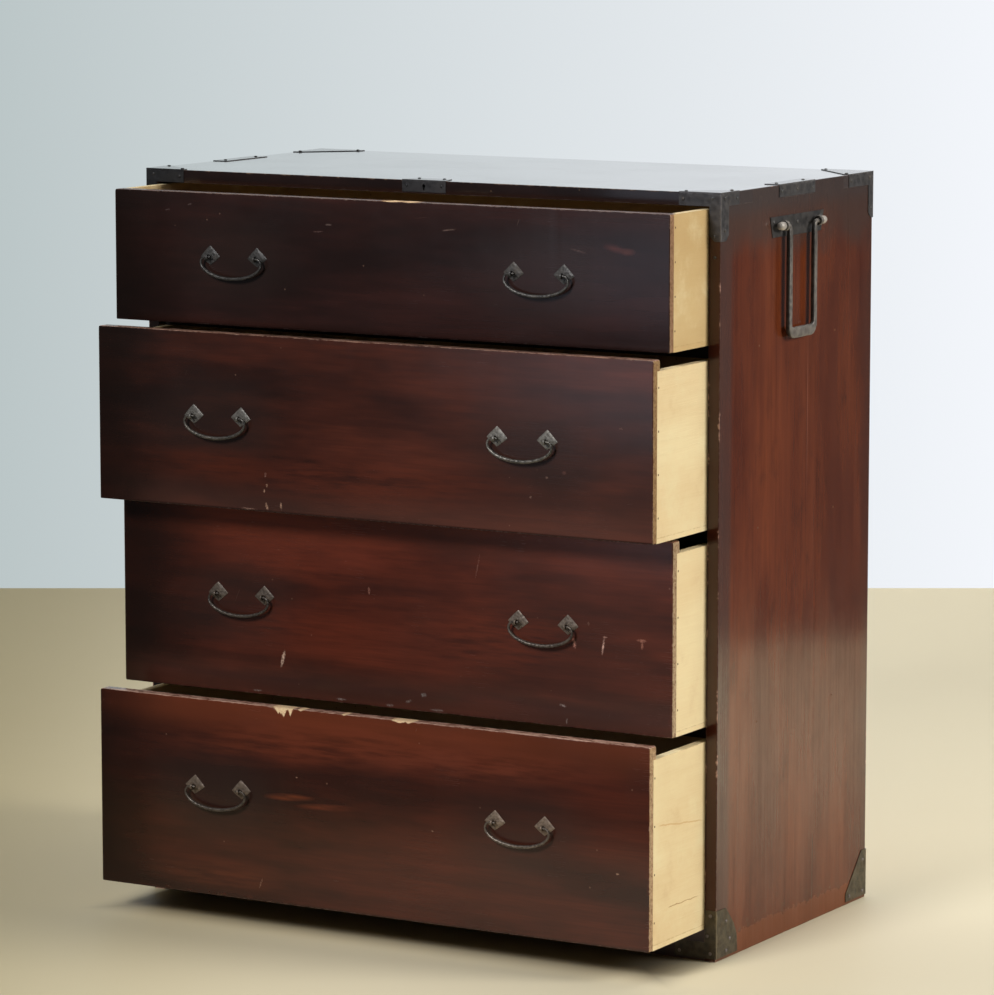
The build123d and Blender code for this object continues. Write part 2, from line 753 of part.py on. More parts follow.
def make_case(irons, nails, lock_space, carry_holes):
    shelves, bottom = shelf_blocks()
    back_boards = make_back_boards()
    pegs = case_pegs()
    rabbet_reach = inner_half + back_rabbet
    rabbet = block(-rabbet_reach, rabbet_reach, back_inner, BACK + 1, -1, top_underside + back_rabbet)

    side = block(inner_half, half_width, FRONT, BACK, 0, case_height)
    side = fillet(side.faces().sort_by(Axis.X)[-1].edges(), edge_rounding)
    side = side - corner_fingers(0) - shelves - [bottom] - [rabbet]
    side = cut(side, pegs + nails + carry_holes)
    other = block(inner_half, half_width, FRONT, BACK, 0, case_height)
    other = fillet(other.faces().sort_by(Axis.X)[-1].edges(), edge_rounding)
    other = mirror_x(other - corner_fingers(0) - shelves - [bottom] - [rabbet])
    other = cut(other, pegs + nails + [mirror_x(hole) for hole in carry_holes])
    save("side_panel_right", [side])
    save("side_panel_left", [other])

    top = block(-half_width, half_width, FRONT, BACK, top_underside, case_height)
    top = fillet(top.faces().sort_by(Axis.Z)[-1].edges(), edge_rounding)
    fingers = corner_fingers(1)
    top = top - fingers - [mirror_x(finger) for finger in fingers] - [rabbet] - [lock_space]
    save("top_panel", [cut(top, pegs + nails)])

    rail_top = base_height - bottom_board_thickness
    front_rail = block(-inner_half, inner_half, FRONT, FRONT + base_rail_thickness, 0, base_height)
    back_rail = block(-inner_half, inner_half, back_inner - base_rail_thickness, back_inner, 0, rail_top)
    bearer = block(-bearer_width / 2, bearer_width / 2, FRONT + base_rail_thickness,
                   back_inner - base_rail_thickness, 0, rail_top)
    save("base_rails", [cut(rail, pegs + nails) for rail in (front_rail, back_rail)])
    save("base_bearer", [bearer])
    save("bottom_panel", [cut(bottom, pegs + nails)])
    save("shelf_boards", [cut(shelf, pegs) for shelf in shelves])
    save("back_boards", [cut(board, pegs + nails) for board in back_boards])
    save("case_pegs", pegs)
    for name, plates in irons.items():
        save(name, [cut(plate, nails) for plate in plates])


def main():
    os.makedirs("parts", exist_ok=True)
    right_irons, right_nails = make_irons()
    strap, strap_nails = make_straps()
    carry_plate, carry_eyes, carry_bail, carry_nails, carry_holes = make_carry_fittings()
    lock_plate, lock_case, lock_bolt, lock_nails, lock_space, bolt_pocket = make_lock()

    right_irons["edge_straps"] = [strap]
    right_irons["carry_plates"] = [cut(carry_plate, carry_holes)]
    irons = {name: plates + [mirror_x(plate) for plate in plates] for name, plates in right_irons.items()}
    right_nails = right_nails + strap_nails + carry_nails
    nails = right_nails + [item.mirrored(Plane.YZ) for item in right_nails] + lock_nails

    make_case(irons, [item.shank for item in nails], lock_space, carry_holes)
    save("iron_nails", [item.solid for item in nails])
    save("lock_plate", [lock_plate])
    save("lock_case", [lock_case])
    save("lock_bolt", [lock_bolt])
    save("carry_eyes", carry_eyes + [mirror_x(eye) for eye in carry_eyes])
    save("carry_bail_right", [carry_bail])
    save("carry_bail_left", [mirror_x(carry_bail)])
    for number in (1, 2, 3, 4):
        make_drawer(drawers[number], bolt_pocket)
    print(f"case {case_width:.1f} x {case_depth:.1f} x {case_height:.1f} mm")


main()
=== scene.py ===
import json
import math

import bmesh
import bpy
from mathutils import Euler, Matrix, Vector, noise


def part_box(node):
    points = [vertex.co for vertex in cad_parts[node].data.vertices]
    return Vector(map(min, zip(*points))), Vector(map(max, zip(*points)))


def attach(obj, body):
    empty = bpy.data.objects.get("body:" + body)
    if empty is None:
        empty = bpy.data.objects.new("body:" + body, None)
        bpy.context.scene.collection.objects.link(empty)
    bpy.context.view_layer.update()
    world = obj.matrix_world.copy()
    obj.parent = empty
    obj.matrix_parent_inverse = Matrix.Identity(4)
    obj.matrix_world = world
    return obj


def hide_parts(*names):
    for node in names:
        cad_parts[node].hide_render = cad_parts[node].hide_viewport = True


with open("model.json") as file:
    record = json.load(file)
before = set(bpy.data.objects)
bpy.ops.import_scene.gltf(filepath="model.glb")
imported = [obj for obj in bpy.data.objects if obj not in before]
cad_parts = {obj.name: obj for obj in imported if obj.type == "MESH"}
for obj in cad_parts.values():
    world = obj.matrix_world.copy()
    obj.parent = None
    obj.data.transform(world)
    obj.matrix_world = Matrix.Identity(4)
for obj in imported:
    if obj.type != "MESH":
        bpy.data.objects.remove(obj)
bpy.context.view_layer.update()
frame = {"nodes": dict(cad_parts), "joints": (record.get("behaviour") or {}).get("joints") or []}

collection = bpy.context.scene.collection
joints = {joint["name"]: joint for joint in frame["joints"]}

# ---- Studio ----
# A pale floor, a pale wall behind the chest and four soft lamps. The long lens looks at the
# chest's right front corner from a little above its top.

camera_place = Vector((3.3437, -5.8070, 1.5246))
camera_down = math.radians(8.096)
camera_turn = math.radians(30.07)
camera_lens = 172.75
wall_distance = 9.43
wall_half_width = 2.6
wall_height = 3.2
wall_gap = 0.05                    # the floor runs on this far behind the wall
floor_back_half = 1.3
chest_middle = (0.0, 0.0, 0.5)


def tone(code):
    """A colour written as it looks, such as "e8cf96", in the values that shaders take."""
    parts = [int(code[place:place + 2], 16) / 255 for place in (0, 2, 4)]
    linear = [part / 12.92 if part <= 0.04045 else ((part + 0.055) / 1.055) ** 2.4 for part in parts]
    return (*linear, 1.0)


def node_operator(operation, swapped=False):
    """A Python operator that adds a math node instead of working out a number."""
    def apply(first, *others):
        values = (*others, first) if swapped else (first, *others)
        return first.wires.math(operation, *values)
    return apply


class Signal:
    """A value that changes over a surface."""

    __add__ = node_operator("ADD")
    __sub__ = node_operator("SUBTRACT")
    __rsub__ = node_operator("SUBTRACT", swapped=True)
    __mul__ = node_operator("MULTIPLY")
    __truediv__ = node_operator("DIVIDE")
    __rtruediv__ = node_operator("DIVIDE", swapped=True)
    __abs__ = node_operator("ABSOLUTE")
    __lt__ = node_operator("LESS_THAN")
    __gt__ = node_operator("GREATER_THAN")

    def __init__(self, wires, socket):
        self.wires = wires
        self.socket = socket

    def fade(self, start, end, low=0.0, high=1.0):
        """Goes smoothly from low to high while the value goes from start to end."""
        values = {"Value": self, "From Min": start, "From Max": end, "To Min": low, "To Max": high}
        return self.wires.signal("ShaderNodeMapRange", values, interpolation_type="SMOOTHSTEP")


class Wiring:
    """Adds nodes to one tree and joins them."""

    def __init__(self, tree):
        self.tree = tree

    def node(self, kind, inputs=None, **settings):
        made = self.tree.nodes.new(kind)
        for name, value in settings.items():
            setattr(made, name, value)
        for name, value in (inputs or {}).items():
            self.feed(made.inputs[name], value)
        return made

    def feed(self, socket, value):
        if isinstance(value, Signal):
            value = value.socket
        if isinstance(value, bpy.types.NodeSocket):
            self.tree.links.new(value, socket)
        else:
            socket.default_value = value

    def signal(self, kind, inputs, output=0, **settings):
        return Signal(self, self.node(kind, inputs, **settings).outputs[output])

    def math(self, operation, *values, clamp=False):
        return self.signal("ShaderNodeMath", dict(enumerate(values)), operation=operation, use_clamp=clamp)

    def vector(self, operation, first, second):
        return self.node("ShaderNodeVectorMath", {0: first, 1: second}, operation=operation).outputs[0]

    def length(self, vector):
        return self.signal("ShaderNodeVectorMath", {0: vector}, "Value", operation="LENGTH")

    def dot(self, vector, direction):
        values = {0: vector, 1: direction}
        return self.signal("ShaderNodeVectorMath", values, "Value", operation="DOT_PRODUCT")

    def parts(self, vector):
        """The X, Y and Z of a place or a direction."""
        return self.signals("ShaderNodeSeparateXYZ", {0: vector}).values()

    def normal(self):
        return self.node("ShaderNodeNewGeometry").outputs["Normal"]

    def mix(self, share, *colours):
        """Mixes two colours, written as codes or worked out by nodes."""
        first, second = [tone(colour) if isinstance(colour, str) else colour for colour in colours]
        values = {0: share, 6: first, 7: second}
        return self.node("ShaderNodeMix", values, data_type="RGBA").outputs[2]

    def noise(self, position, scale, detail=3.0, roughness=0.55):
        values = {"Vector": position, "Scale": scale, "Detail": detail, "Roughness": roughness}
        return self.signal("ShaderNodeTexNoise", values)

    def streaks(self, position, stretch, detail=3.0, roughness=0.55):
        """Noise with its own fineness along X, Y and Z."""
        return self.noise(self.vector("MULTIPLY", position, stretch), 1.0, detail, roughness)

    def signals(self, kind, inputs, **settings):
        """Every output of a new node, by name."""
        outputs = self.node(kind, inputs, **settings).outputs
        return {output.name: Signal(self, output) for output in outputs}

    def group(self, tree, inputs):
        return self.signals("ShaderNodeGroup", inputs, node_tree=tree)


def new_tree(name):
    """An empty material and its wiring."""
    material = bpy.data.materials.new(name)
    material.use_nodes = True
    material.node_tree.nodes.clear()
    return material, Wiring(material.node_tree)


def show(wires, shader):
    wires.node("ShaderNodeOutputMaterial", {"Surface": shader})


def seen_directly(wires):
    """One where the surface is seen by the camera, in a reflection or through glass."""
    path = wires.node("ShaderNodeLightPath").outputs
    shiny = wires.math("MAXIMUM", path["Is Glossy Ray"], path["Is Transmission Ray"])
    return wires.math("MAXIMUM", path["Is Camera Ray"], shiny)


def pale_wall():
    """Plain plaster that camera and reflections see as a painted glow, greyer to the left where less
    daylight reaches it; clear from behind.
    """
    material, wires = new_tree("plain_pale_wall")
    x, y, z = wires.parts(wires.node("ShaderNodeTexCoord").outputs["Object"])
    share = wires.signal("ShaderNodeMapRange", {"Value": x, "From Min": -2.27, "From Max": -0.52})
    colour = wires.mix(share, "bac5c6", "f3f6fb")
    # Painted light: the plaster's lit colour is shown as a glow.
    glow = wires.node("ShaderNodeEmission", {"Color": colour, "Strength": 1.0}).outputs[0]
    plaster = wires.node("ShaderNodeBsdfDiffuse", {"Color": tone("dfe2e4")}).outputs[0]
    front = wires.node("ShaderNodeMixShader", {0: seen_directly(wires), 1: plaster, 2: glow}).outputs[0]
    clear = wires.node("ShaderNodeBsdfTransparent").outputs[0]
    behind = wires.node("ShaderNodeNewGeometry").outputs["Backfacing"]
    show(wires, wires.node("ShaderNodeMixShader", {0: behind, 1: front, 2: clear}).outputs[0])
    return material


def pale_floor():
    """Plain pale floor that keeps the chest's shadow, with painted light and shade: paler to the right,
    greyer far behind, toned down in front of the chest's right, and a painted shadow under the chest.
    """
    material, wires = new_tree("plain_pale_floor")
    place = wires.node("ShaderNodeTexCoord").outputs["Object"]
    x, y, z = wires.parts(place)
    to_right = x * 0.865 + y * 0.501
    # Painted light and shade: paler to the right, darker to the left where less light reaches, greyer far
    # behind.
    colour = wires.mix(to_right.fade(-1.06, 0.10), "a4956b", "f9ecca")
    colour = wires.mix(y.fade(1.0, 2.6, 0.0, 0.22), colour, "a39472")
    colour = wires.mix(wires.noise(place, 1.3, 2.0) * 0.12, colour, "c9bb98")
    # Painted shade: toned down near a spot in front of the chest's right, where the lamps light the floor
    # most.
    from_lamp = wires.length(wires.vector("SUBTRACT", place, (1.0, -0.4, 0.0)))
    colour = wires.mix(from_lamp.fade(1.3, 0.3), colour, "d1c6a9")
    # Painted shadow: dark under and round the chest's foot.
    from_chest = wires.math("MAXIMUM", abs(x) - 0.42, abs(y + 0.08) - 0.26)
    colour = wires.mix(from_chest.fade(0.06, -0.04, 0.0, 0.92), colour, "2c241a")
    shader = wires.node("ShaderNodeBsdfPrincipled", {"Base Color": colour, "Roughness": 0.55})
    show(wires, shader.outputs[0])
    return material


def flat_sheet(name, corners, material):
    mesh = bpy.data.meshes.new(name)
    mesh.from_pydata(corners, [], [range(len(corners))])
    mesh.materials.append(material)
    piece = bpy.data.objects.new(name, mesh)
    collection.objects.link(piece)


camera_data = bpy.data.cameras.new("chest_camera")
camera_data.lens = camera_lens
camera_data.clip_end = 60.0
camera = bpy.data.objects.new("chest_camera", camera_data)
camera.location = camera_place
camera.rotation_euler = Euler((math.radians(90) - camera_down, 0.0, camera_turn))
collection.objects.link(camera)
bpy.context.scene.camera = camera
bpy.context.scene.view_settings.view_transform = "Standard"

ahead = Vector((-math.sin(camera_turn), math.cos(camera_turn), 0.0))
beside = Vector((math.cos(camera_turn), math.sin(camera_turn), 0.0))
wall_foot = Vector((camera_place.x, camera_place.y, 0.0)) + ahead * wall_distance
wall_left = wall_foot - beside * wall_half_width
wall_right = wall_foot + beside * wall_half_width
up = Vector((0.0, 0.0, wall_height))
flat_sheet("studio_wall", [wall_left, wall_right, wall_right + up, wall_left + up], pale_wall())
floor_left = wall_left + ahead * wall_gap
floor_back = wall_foot + beside * floor_back_half + ahead * wall_gap
floor_corners = [(floor_left.x, floor_left.y), (-3.3, -1.1), (2.6, -1.1), (2.42, 0.95), (0.76, 3.05),
                 (floor_back.x, floor_back.y)]
flat_sheet("studio_floor", [Vector((x, y, 0.0)) for x, y in floor_corners], pale_floor())


def soft_lamp(name, place, target, size, power, colour):
    data = bpy.data.lights.new(name, "AREA")
    data.shape = "DISK"
    data.size = size
    data.energy = power
    data.color = tone(colour)[:3]
    lamp = bpy.data.objects.new(name, data)
    lamp.location = place
    lamp.rotation_euler = (Vector(target) - Vector(place)).to_track_quat("-Z", "Y").to_euler()
    collection.objects.link(lamp)


soft_lamp("window_right", (4.4, 0.9, 2.4), chest_middle, 1.8, 165.0, "fffefc")
soft_lamp("window_front", (-0.5, -4.8, 3.4), chest_middle, 1.5, 240.0, "fbfcff")
soft_lamp("skylight", (0.6, 1.0, 3.8), (0.3, 0.0, 0.0), 2.4, 50.0, "fffefa")
soft_lamp("far_window", (-0.15, -1.75, 0.85), (0.5, -0.35, 0.95), 0.7, 1.3, "dfe8ff")
world = bpy.data.worlds.new("pale_room")
world.use_nodes = True
bpy.context.scene.world = world
room = world.node_tree.nodes["Background"]
room.inputs["Color"].default_value = tone("dfe6ec")
room.inputs["Strength"].default_value = 0.13

# ---- Side panels ----
# Two cedar boards, each glued up from two widths and finished with wiped red-brown lacquer.
# The grain runs up and down. Corners and the foot are worn down to paler wood.


def new_group(name, inputs, *outputs):
    """An empty effect group: inputs with their plain values, and the names of its outputs."""
    tree = bpy.data.node_groups.new(name, "ShaderNodeTree")
    for label, value in inputs.items():
        kind = "NodeSocketVector" if isinstance(value, tuple) else "NodeSocketFloat"
        tree.interface.new_socket(name=label, in_out="INPUT", socket_type=kind).default_value = value
    for label in outputs:
        tree.interface.new_socket(name=label, in_out="OUTPUT", socket_type="NodeSocketFloat")
    wires = Wiring(tree)
    given = wires.node("NodeGroupInput").outputs
    result = wires.node("NodeGroupOutput").inputs
    return wires, {label: Signal(wires, given[label]) for label in inputs}, result


def make_wood_grain():
    """Rings, fine fibres, soft streaks and broad clouds of a board whose grain runs along X."""
    wires, given, result = new_group(
        "wood_grain", {"Position": (0, 0, 0), "Ring Spacing": 0.006, "Wander": 0.03},
        "Rings", "Fibre", "Streak", "Cloud")
    place = given["Position"]
    x, y, z = wires.parts(place)
    wander = (wires.streaks(place, (1.1, 7.0, 7.0)) - 0.5) * given["Wander"]
    turn = wires.math("FRACT", (y * 0.4 + z + wander) / given["Ring Spacing"])
    late = wires.math("POWER", turn, 4.0)
    broken = wires.streaks(place, (5.0, 60.0, 60.0), 2.0)
    wires.feed(result["Rings"], late * broken.fade(0.35, 0.65))
    for label, stretch, roughness, spread in (("Fibre", (16.0, 460.0, 460.0), 0.65, 0.18),
                                              ("Streak", (4.5, 70.0, 70.0), 0.6, 0.16),
                                              ("Cloud", (2.3, 6.0, 11.0), 0.6, 0.18)):
        value = wires.streaks(place, stretch, 4.0, roughness)
        wires.feed(result[label], value.fade(0.5 - spread, 0.5 + spread))
    return wires.tree


def make_edge_wear():
    """Wear along the edges of a box, with a ragged border."""
    wires, given, result = new_group(
        "edge_wear", {"Position": (0, 0, 0), "Low": (0, 0, 0), "High": (1, 1, 1), "Reach": 0.002,
                      "Raggedness": 120.0}, "Wear")
    place = given["Position"]
    inside = wires.vector("MINIMUM", wires.vector("SUBTRACT", place, given["Low"]),
                          wires.vector("SUBTRACT", given["High"], place))
    x, y, z = wires.parts(inside)
    nearest = wires.math("MINIMUM", x, wires.math("MINIMUM", y, z))
    farthest = wires.math("MAXIMUM", x, wires.math("MAXIMUM", y, z))
    from_edge = wires.math("MAXIMUM", x + y + z - nearest - farthest, 0.0)
    ragged = wires.noise(place, given["Raggedness"], 5.0, 0.7)
    border = given["Reach"] * ragged.fade(0.40, 0.72)
    wires.feed(result["Wear"], (1.0 - from_edge / (border + 0.0001)).fade(0.0, 0.45))
    return wires.tree


def make_scuffs():
    """Fine scratches in two directions and small round nicks."""
    wires, given, result = new_group("scuffs", {"Position": (0, 0, 0), "Density": 0.5}, "Scratches", "Nicks")
    place = given["Position"]
    threshold = given["Density"].fade(0.0, 1.0, 0.82, 0.70)
    scratches = []
    for angle, stretch in ((0.12, (9.0, 420.0, 420.0)), (1.25, (14.0, 520.0, 520.0))):
        values = {"Vector": place, "Axis": (0.35, 1.0, 0.2), "Angle": angle}
        turned = wires.node("ShaderNodeVectorRotate", values).outputs[0]
        scratches.append(wires.streaks(turned, stretch, 1.0).fade(threshold, threshold + 0.03))
    where = wires.noise(place, 5.0, 2.0).fade(0.45, 0.62)
    wires.feed(result["Scratches"], wires.math("MAXIMUM", *scratches) * where)
    cells = wires.signals("ShaderNodeTexVoronoi", {"Vector": place, "Scale": 95.0})
    dot = cells["Distance"].fade(0.13, 0.09)
    picked = wires.signal("ShaderNodeSeparateColor", {0: cells["Color"]})
    wires.feed(result["Nicks"], dot * (picked < given["Density"] * 0.35))
    return wires.tree


wood_grain = make_wood_grain()
edge_wear = make_edge_wear()
scuffs = make_scuffs()


class Finish:
    """One material while it is built up: its colour, roughness and relief."""

    def __init__(self, name, axes, colour):
        self.material, self.wires = new_tree(name)
        self.place = self.wires.node("ShaderNodeTexCoord").outputs["Object"]
        self.x, self.y, self.z = self.wires.parts(self.place)
        order = {target: getattr(self, source.lower()) for target, source in zip("XYZ", axes)}
        self.along = self.wires.node("ShaderNodeCombineXYZ", order).outputs[0]
        self.colour = colour
        self.rough = 0.5
        self.relief = 0.5

    def facing(self, axis):
        """How far the surface faces along an axis: one when it faces straight that way."""
        return self.wires.signals("ShaderNodeSeparateXYZ", {0: self.wires.normal()})[axis]

    def grain(self, spacing, wander):
        values = {"Position": self.along, "Ring Spacing": spacing, "Wander": wander}
        return self.wires.group(wood_grain, values)

    def wear(self, box, reach, raggedness):
        values = {"Position": self.place, "Low": box[0], "High": box[1], "Reach": reach,
                  "Raggedness": raggedness}
        return self.wires.group(edge_wear, values)["Wear"]

    def scuffs(self, density):
        return self.wires.group(scuffs, {"Position": self.place, "Density": density})

    def paint(self, mask, colour):
        """Lays a colour where the mask is."""
        self.colour = self.wires.mix(mask, self.colour, colour)

    def roughen(self, mask, amount):
        self.rough = self.wires.math("MULTIPLY_ADD", mask, amount, self.rough, clamp=True)

    def lift(self, mask, amount):
        self.relief = mask * amount + self.relief

    def done(self, depth, metal=0.0, coat=0.0, coat_roughness=0.1, specular=0.5):
        bump = self.wires.node("ShaderNodeBump", {"Distance": depth, "Height": self.relief})
        values = {"Base Color": self.colour, "Roughness": self.rough, "Metallic": metal,
                  "Normal": bump.outputs[0], "Coat Weight": coat, "Coat Roughness": coat_roughness,
                  "Specular IOR Level": specular}
        show(self.wires, self.wires.node("ShaderNodeBsdfPrincipled", values).outputs[0])
        return self.material


def lacquered(name, axes, box, dark, warm, bare, roughness=0.16, wear=0.5):
    """Wiped lacquer over straight grain, thinner and redder in clouds, bare on its edges."""
    finish = Finish(name, axes, dark)
    grain = finish.grain(0.011, 0.05)
    finish.paint(grain["Cloud"], warm)
    for effect, amount in (("Streak", 0.35), ("Rings", 0.18), ("Fibre", 0.22)):
        finish.paint(grain[effect] * amount, dark)
    finish.rough = roughness
    finish.roughen(grain["Fibre"], 0.03)
    smear = finish.wires.noise(finish.place, 7.0, 4.0, 0.6)
    finish.roughen(smear.fade(0.35, 0.70), 0.06)
    finish.lift(grain["Fibre"], -0.3)
    finish.lift(grain["Rings"], 0.2)
    marks = finish.scuffs(0.07)
    finish.paint(marks["Scratches"] * 0.10, bare)
    finish.paint(marks["Nicks"] * 0.22, bare)
    finish.roughen(marks["Scratches"], 0.15)
    finish.paint(finish.wear(box, 0.009, 60.0) * (wear * 0.6), warm)
    worn = finish.wear(box, 0.0022, 150.0)
    finish.paint(worn * wear, bare)
    finish.roughen(worn, 0.25)
    finish.lift(worn, -0.5)
    return finish


def dress(node, material):
    """Gives a piece of the frame its material."""
    for slot in frame["nodes"][node].material_slots:
        slot.material = material


glue_joint = 0.032                 # from the middle of the side to the joint of its two widths
crack_place = 0.062                # a crack that opens from the foot beside the joint
crack_height = 0.130
foot_band = 0.034                  # scuffed band along the foot of each side
grime_depth = 0.10                 # how far dirt and old polish darken the panel from its edges
# The left front edge's near-black is painted shade; the right one's is the lacquer.
front_edge_lacquer_and_shade = {"left": "0e0705", "right": "3c1a10"}


def side_panel(label):
    low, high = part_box(f"side_panel_{label}")
    outward = Vector((1.0 if label == "right" else -1.0, 0.0, 0.0))
    finish = lacquered(f"side_lacquer_{label}", "ZXY", (low, high), "522414", "72391f", "a9825f", 0.10, 0.3)
    wires = finish.wires
    y, z = finish.y, finish.z
    cloud = wires.noise(finish.place, 9.0, 4.0, 0.6)
    threads = wires.streaks(finish.place, (1.0, 150.0, 3.5), 4.0, 0.65)
    finish.paint(threads.fade(0.50, 0.72, 0.0, 0.34), "3a1a12")
    mottle = wires.streaks(finish.place, (1.0, 26.0, 15.0), 5.0, 0.7)
    finish.paint(mottle.fade(0.50, 0.75, 0.0, 0.40), "40231b")
    # Grime along the edges, a greyer strip at the front, and haze and soot under the top.
    from_top = high.z - z
    from_front = y - low.y
    from_edge = wires.math("MINIMUM", from_front, high.y - y)
    finish.paint((from_edge - cloud * grime_depth).fade(0.0, -0.05) * 0.5, "3f2b25")
    finish.paint((cloud * 0.012 + from_front).fade(0.046, 0.034) * 0.45, "453734")
    finish.paint((cloud * 0.14 + from_top).fade(0.18, 0.11) * 0.85, "47362f")
    finish.paint((cloud * 0.03 + from_top).fade(0.060, 0.030) * 0.8, "413937")
    finish.paint(y.fade(-0.16, 0.16) * z.fade(0.28, 0.45) * 0.26, "24100b")
    # The glue joint shows most in the upper half; the crack opens from the foot.
    seam_length = z.fade(0.58, 0.70) * z.fade(0.84, 0.76)
    seam = abs(y - glue_joint).fade(0.0016, 0.0004)
    finish.paint(seam * (seam_length * 0.35 + 0.05), "8a5a48")
    wavy = wires.noise(finish.place, 22.0, 2.0) * 0.004 + y
    opened = abs(wavy - crack_place).fade(0.0012, 0.0003)
    opened = opened * z.fade(crack_height, crack_height * 0.8)
    finish.paint(opened * 0.8, "24100b")
    finish.lift(opened, -2.0)
    # The foot is scuffed in a band with a ragged upper rim.
    ragged = wires.noise(finish.place, 48.0, 5.0, 0.7)
    level = (ragged - 0.5) * 0.03 + z
    band = level.fade(foot_band, foot_band * 0.8)
    finish.paint(band * 0.5, "7a4527")
    rim = level.fade(foot_band * 1.6, foot_band) * ragged.fade(0.5, 0.7)
    finish.paint(wires.math("SUBTRACT", rim, band, clamp=True) * 0.7, "544536")
    finish.roughen(band, 0.25)
    # The front edge is darker: dark lacquer on the right, near-black painted shade on the left. The inner
    # face was never lacquered.
    finish.paint((finish.facing("Y") < -0.7) * 0.95, front_edge_lacquer_and_shade[label])
    finish.paint(wires.dot(wires.normal(), outward) < -0.7, "33231a")
    sparse = wires.noise(finish.place, 30.0).fade(0.54, 0.60)
    finish.paint(finish.wear((low, high), 0.0036, 130.0) * sparse, "a07c6c")
    # Polish is thinner at the foot and under the top, and along the threads of the grain.
    shine = z.fade(0.04, 0.30, 0.48, 0.91) * threads.fade(0.32, 0.68, 1.1, 0.75)
    shine = shine * mottle.fade(0.35, 0.75, 1.06, 0.80) * z.fade(0.34, 0.70, 1.0, 0.77)
    finger_ends = finish.facing("Z") > 0.7
    finish.paint(finger_ends, "1a100d")
    coat = wires.math("MAXIMUM", shine * 0.3, finger_ends)
    specular = wires.math("MAXIMUM", shine * 0.5, finger_ends)
    dress(f"side_panel_{label}", finish.done(0.00006, coat=coat, specular=specular))


side_panel("left")
side_panel("right")

# ---- Top board ----
# One broad lacquered board, polished by use. Fingers join it to the sides, some under the
# corner irons and the others lacquered over. Its front edge is nearly black.

top_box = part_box("top_panel")


def facing_up(finish):
    """One on the faces that point upwards."""
    return finish.facing("Z") > 0.7


def top_board():
    finish = lacquered("top_lacquer", "XZY", top_box, "130b0a", "2a1814", "85694f", 0.14)
    sideways = abs(finish.facing("X"))
    finish.paint((sideways > 0.7) * 0.9, "433a38")
    under_edge = finish.z.fade(top_box[0].z + 0.006, top_box[0].z + 0.002, 0.0, 0.9)
    finish.paint(under_edge * (sideways < 0.7), "22130e")
    polish = facing_up(finish).fade(0.0, 1.0, 0.3, 1.0)
    dress("top_panel", finish.done(0.00004, coat=polish, coat_roughness=0.08, specular=polish))


top_board()

# ---- Base, bottom board and shelves ----
# The front rail is lacquered like the sides. The boards inside are bare cedar, rubbed by
# the drawers that run on them.

rail_finish = lacquered("rail_lacquer", "XYZ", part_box("base_rails"), "1f110d", "3a1f17", "7c5d45", 0.3)
dress("base_rails", rail_finish.done(0.0001))


def planed(finish, grain, roughness):
    """Bare planed wood: the late rings stand up a little and the fibres lie low."""
    finish.rough = roughness
    finish.roughen(grain["Fibre"], 0.1)
    finish.lift(grain["Rings"], 0.5)
    finish.lift(grain["Fibre"], -0.3)


def bare_cedar(name, axes, pale="8f6a48", deep="6a482e", shaded_front_edge=False):
    """Planed and untreated, turned brown with age; the default tones are darker as painted shade inside the
    case, and a front edge may be painted near-black as shade in the gaps between the drawers.
    """
    finish = Finish(name, axes, pale)
    grain = finish.grain(0.0055, 0.04)
    finish.paint(grain["Cloud"], deep)
    finish.paint(grain["Rings"] * 0.6, "70482b")
    finish.paint(grain["Fibre"] * 0.25, "6b4a30")
    marks = finish.scuffs(0.7)
    finish.paint(marks["Scratches"] * 0.3, "d8b88c")
    finish.paint(marks["Nicks"] * 0.5, "4a3020")
    planed(finish, grain, 0.72)
    if shaded_front_edge:
        # Painted shade: the front edge is near-black in the gaps between the drawers.
        finish.paint(finish.facing("Y") < -0.7, "150c09")
    return finish.done(0.0002, specular=0.35)


dress("shelf_boards", bare_cedar("shelf_cedar", "XYZ", shaded_front_edge=True))
dress("bottom_panel", bare_cedar("bottom_cedar", "XYZ", shaded_front_edge=True))
dress("base_bearer", bare_cedar("bearer_cedar", "YXZ"))

# ---- Back boards and pegs ----
# Three upright cedar boards let into the back, held to the shelves by square wooden pegs
# whose end grain is a little darker than the boards.

dress("back_boards", bare_cedar("back_cedar", "ZYX", "a9845c", "84603f"))


def peg_wood():
    """Hard end grain, a little darker than the board round it."""
    finish = Finish("peg_end_grain", "XYZ", "6d4a2d")
    speck = finish.wires.noise(finish.place, 900.0)
    finish.paint(speck.fade(0.4, 0.65), "3f2817")
    finish.rough = 0.7
    finish.lift(speck, 0.5)
    return finish.done(0.0002, specular=0.3)


peg_end_grain = peg_wood()
dress("case_pegs", peg_end_grain)

# ---- Corner irons, edge straps and lock ----
# Thin wrought iron sheet, cut out, hammered flat and folded round the corners of the case,
# then blackened with lacquer. The folds and outer edges are worn grey, a grey that is also a painted
# highlight along them.


def make_hammered():
    """Shallow hammer marks, pits and rust blooms of wrought iron."""
    wires, given, result = new_group("hammered_iron", {"Position": (0, 0, 0), "Mark Size": 0.006},
                                     "Marks", "Pits", "Bloom")
    place = given["Position"]
    values = {"Vector": place, "Scale": 1.0 / given["Mark Size"], "Smoothness": 0.6}
    cells = wires.signals("ShaderNodeTexVoronoi", values, feature="SMOOTH_F1")
    wires.feed(result["Marks"], cells["Distance"].fade(0.1, 0.8))
    wires.feed(result["Pits"], wires.noise(place, 1100.0, 3.0, 0.6).fade(0.56, 0.72))
    wires.feed(result["Bloom"], wires.noise(place, 55.0, 5.0, 0.65).fade(0.48, 0.68))
    return wires.tree


hammered_iron = make_hammered()
case_box = (Vector((top_box[0].x, top_box[0].y, 0.0)), top_box[1])


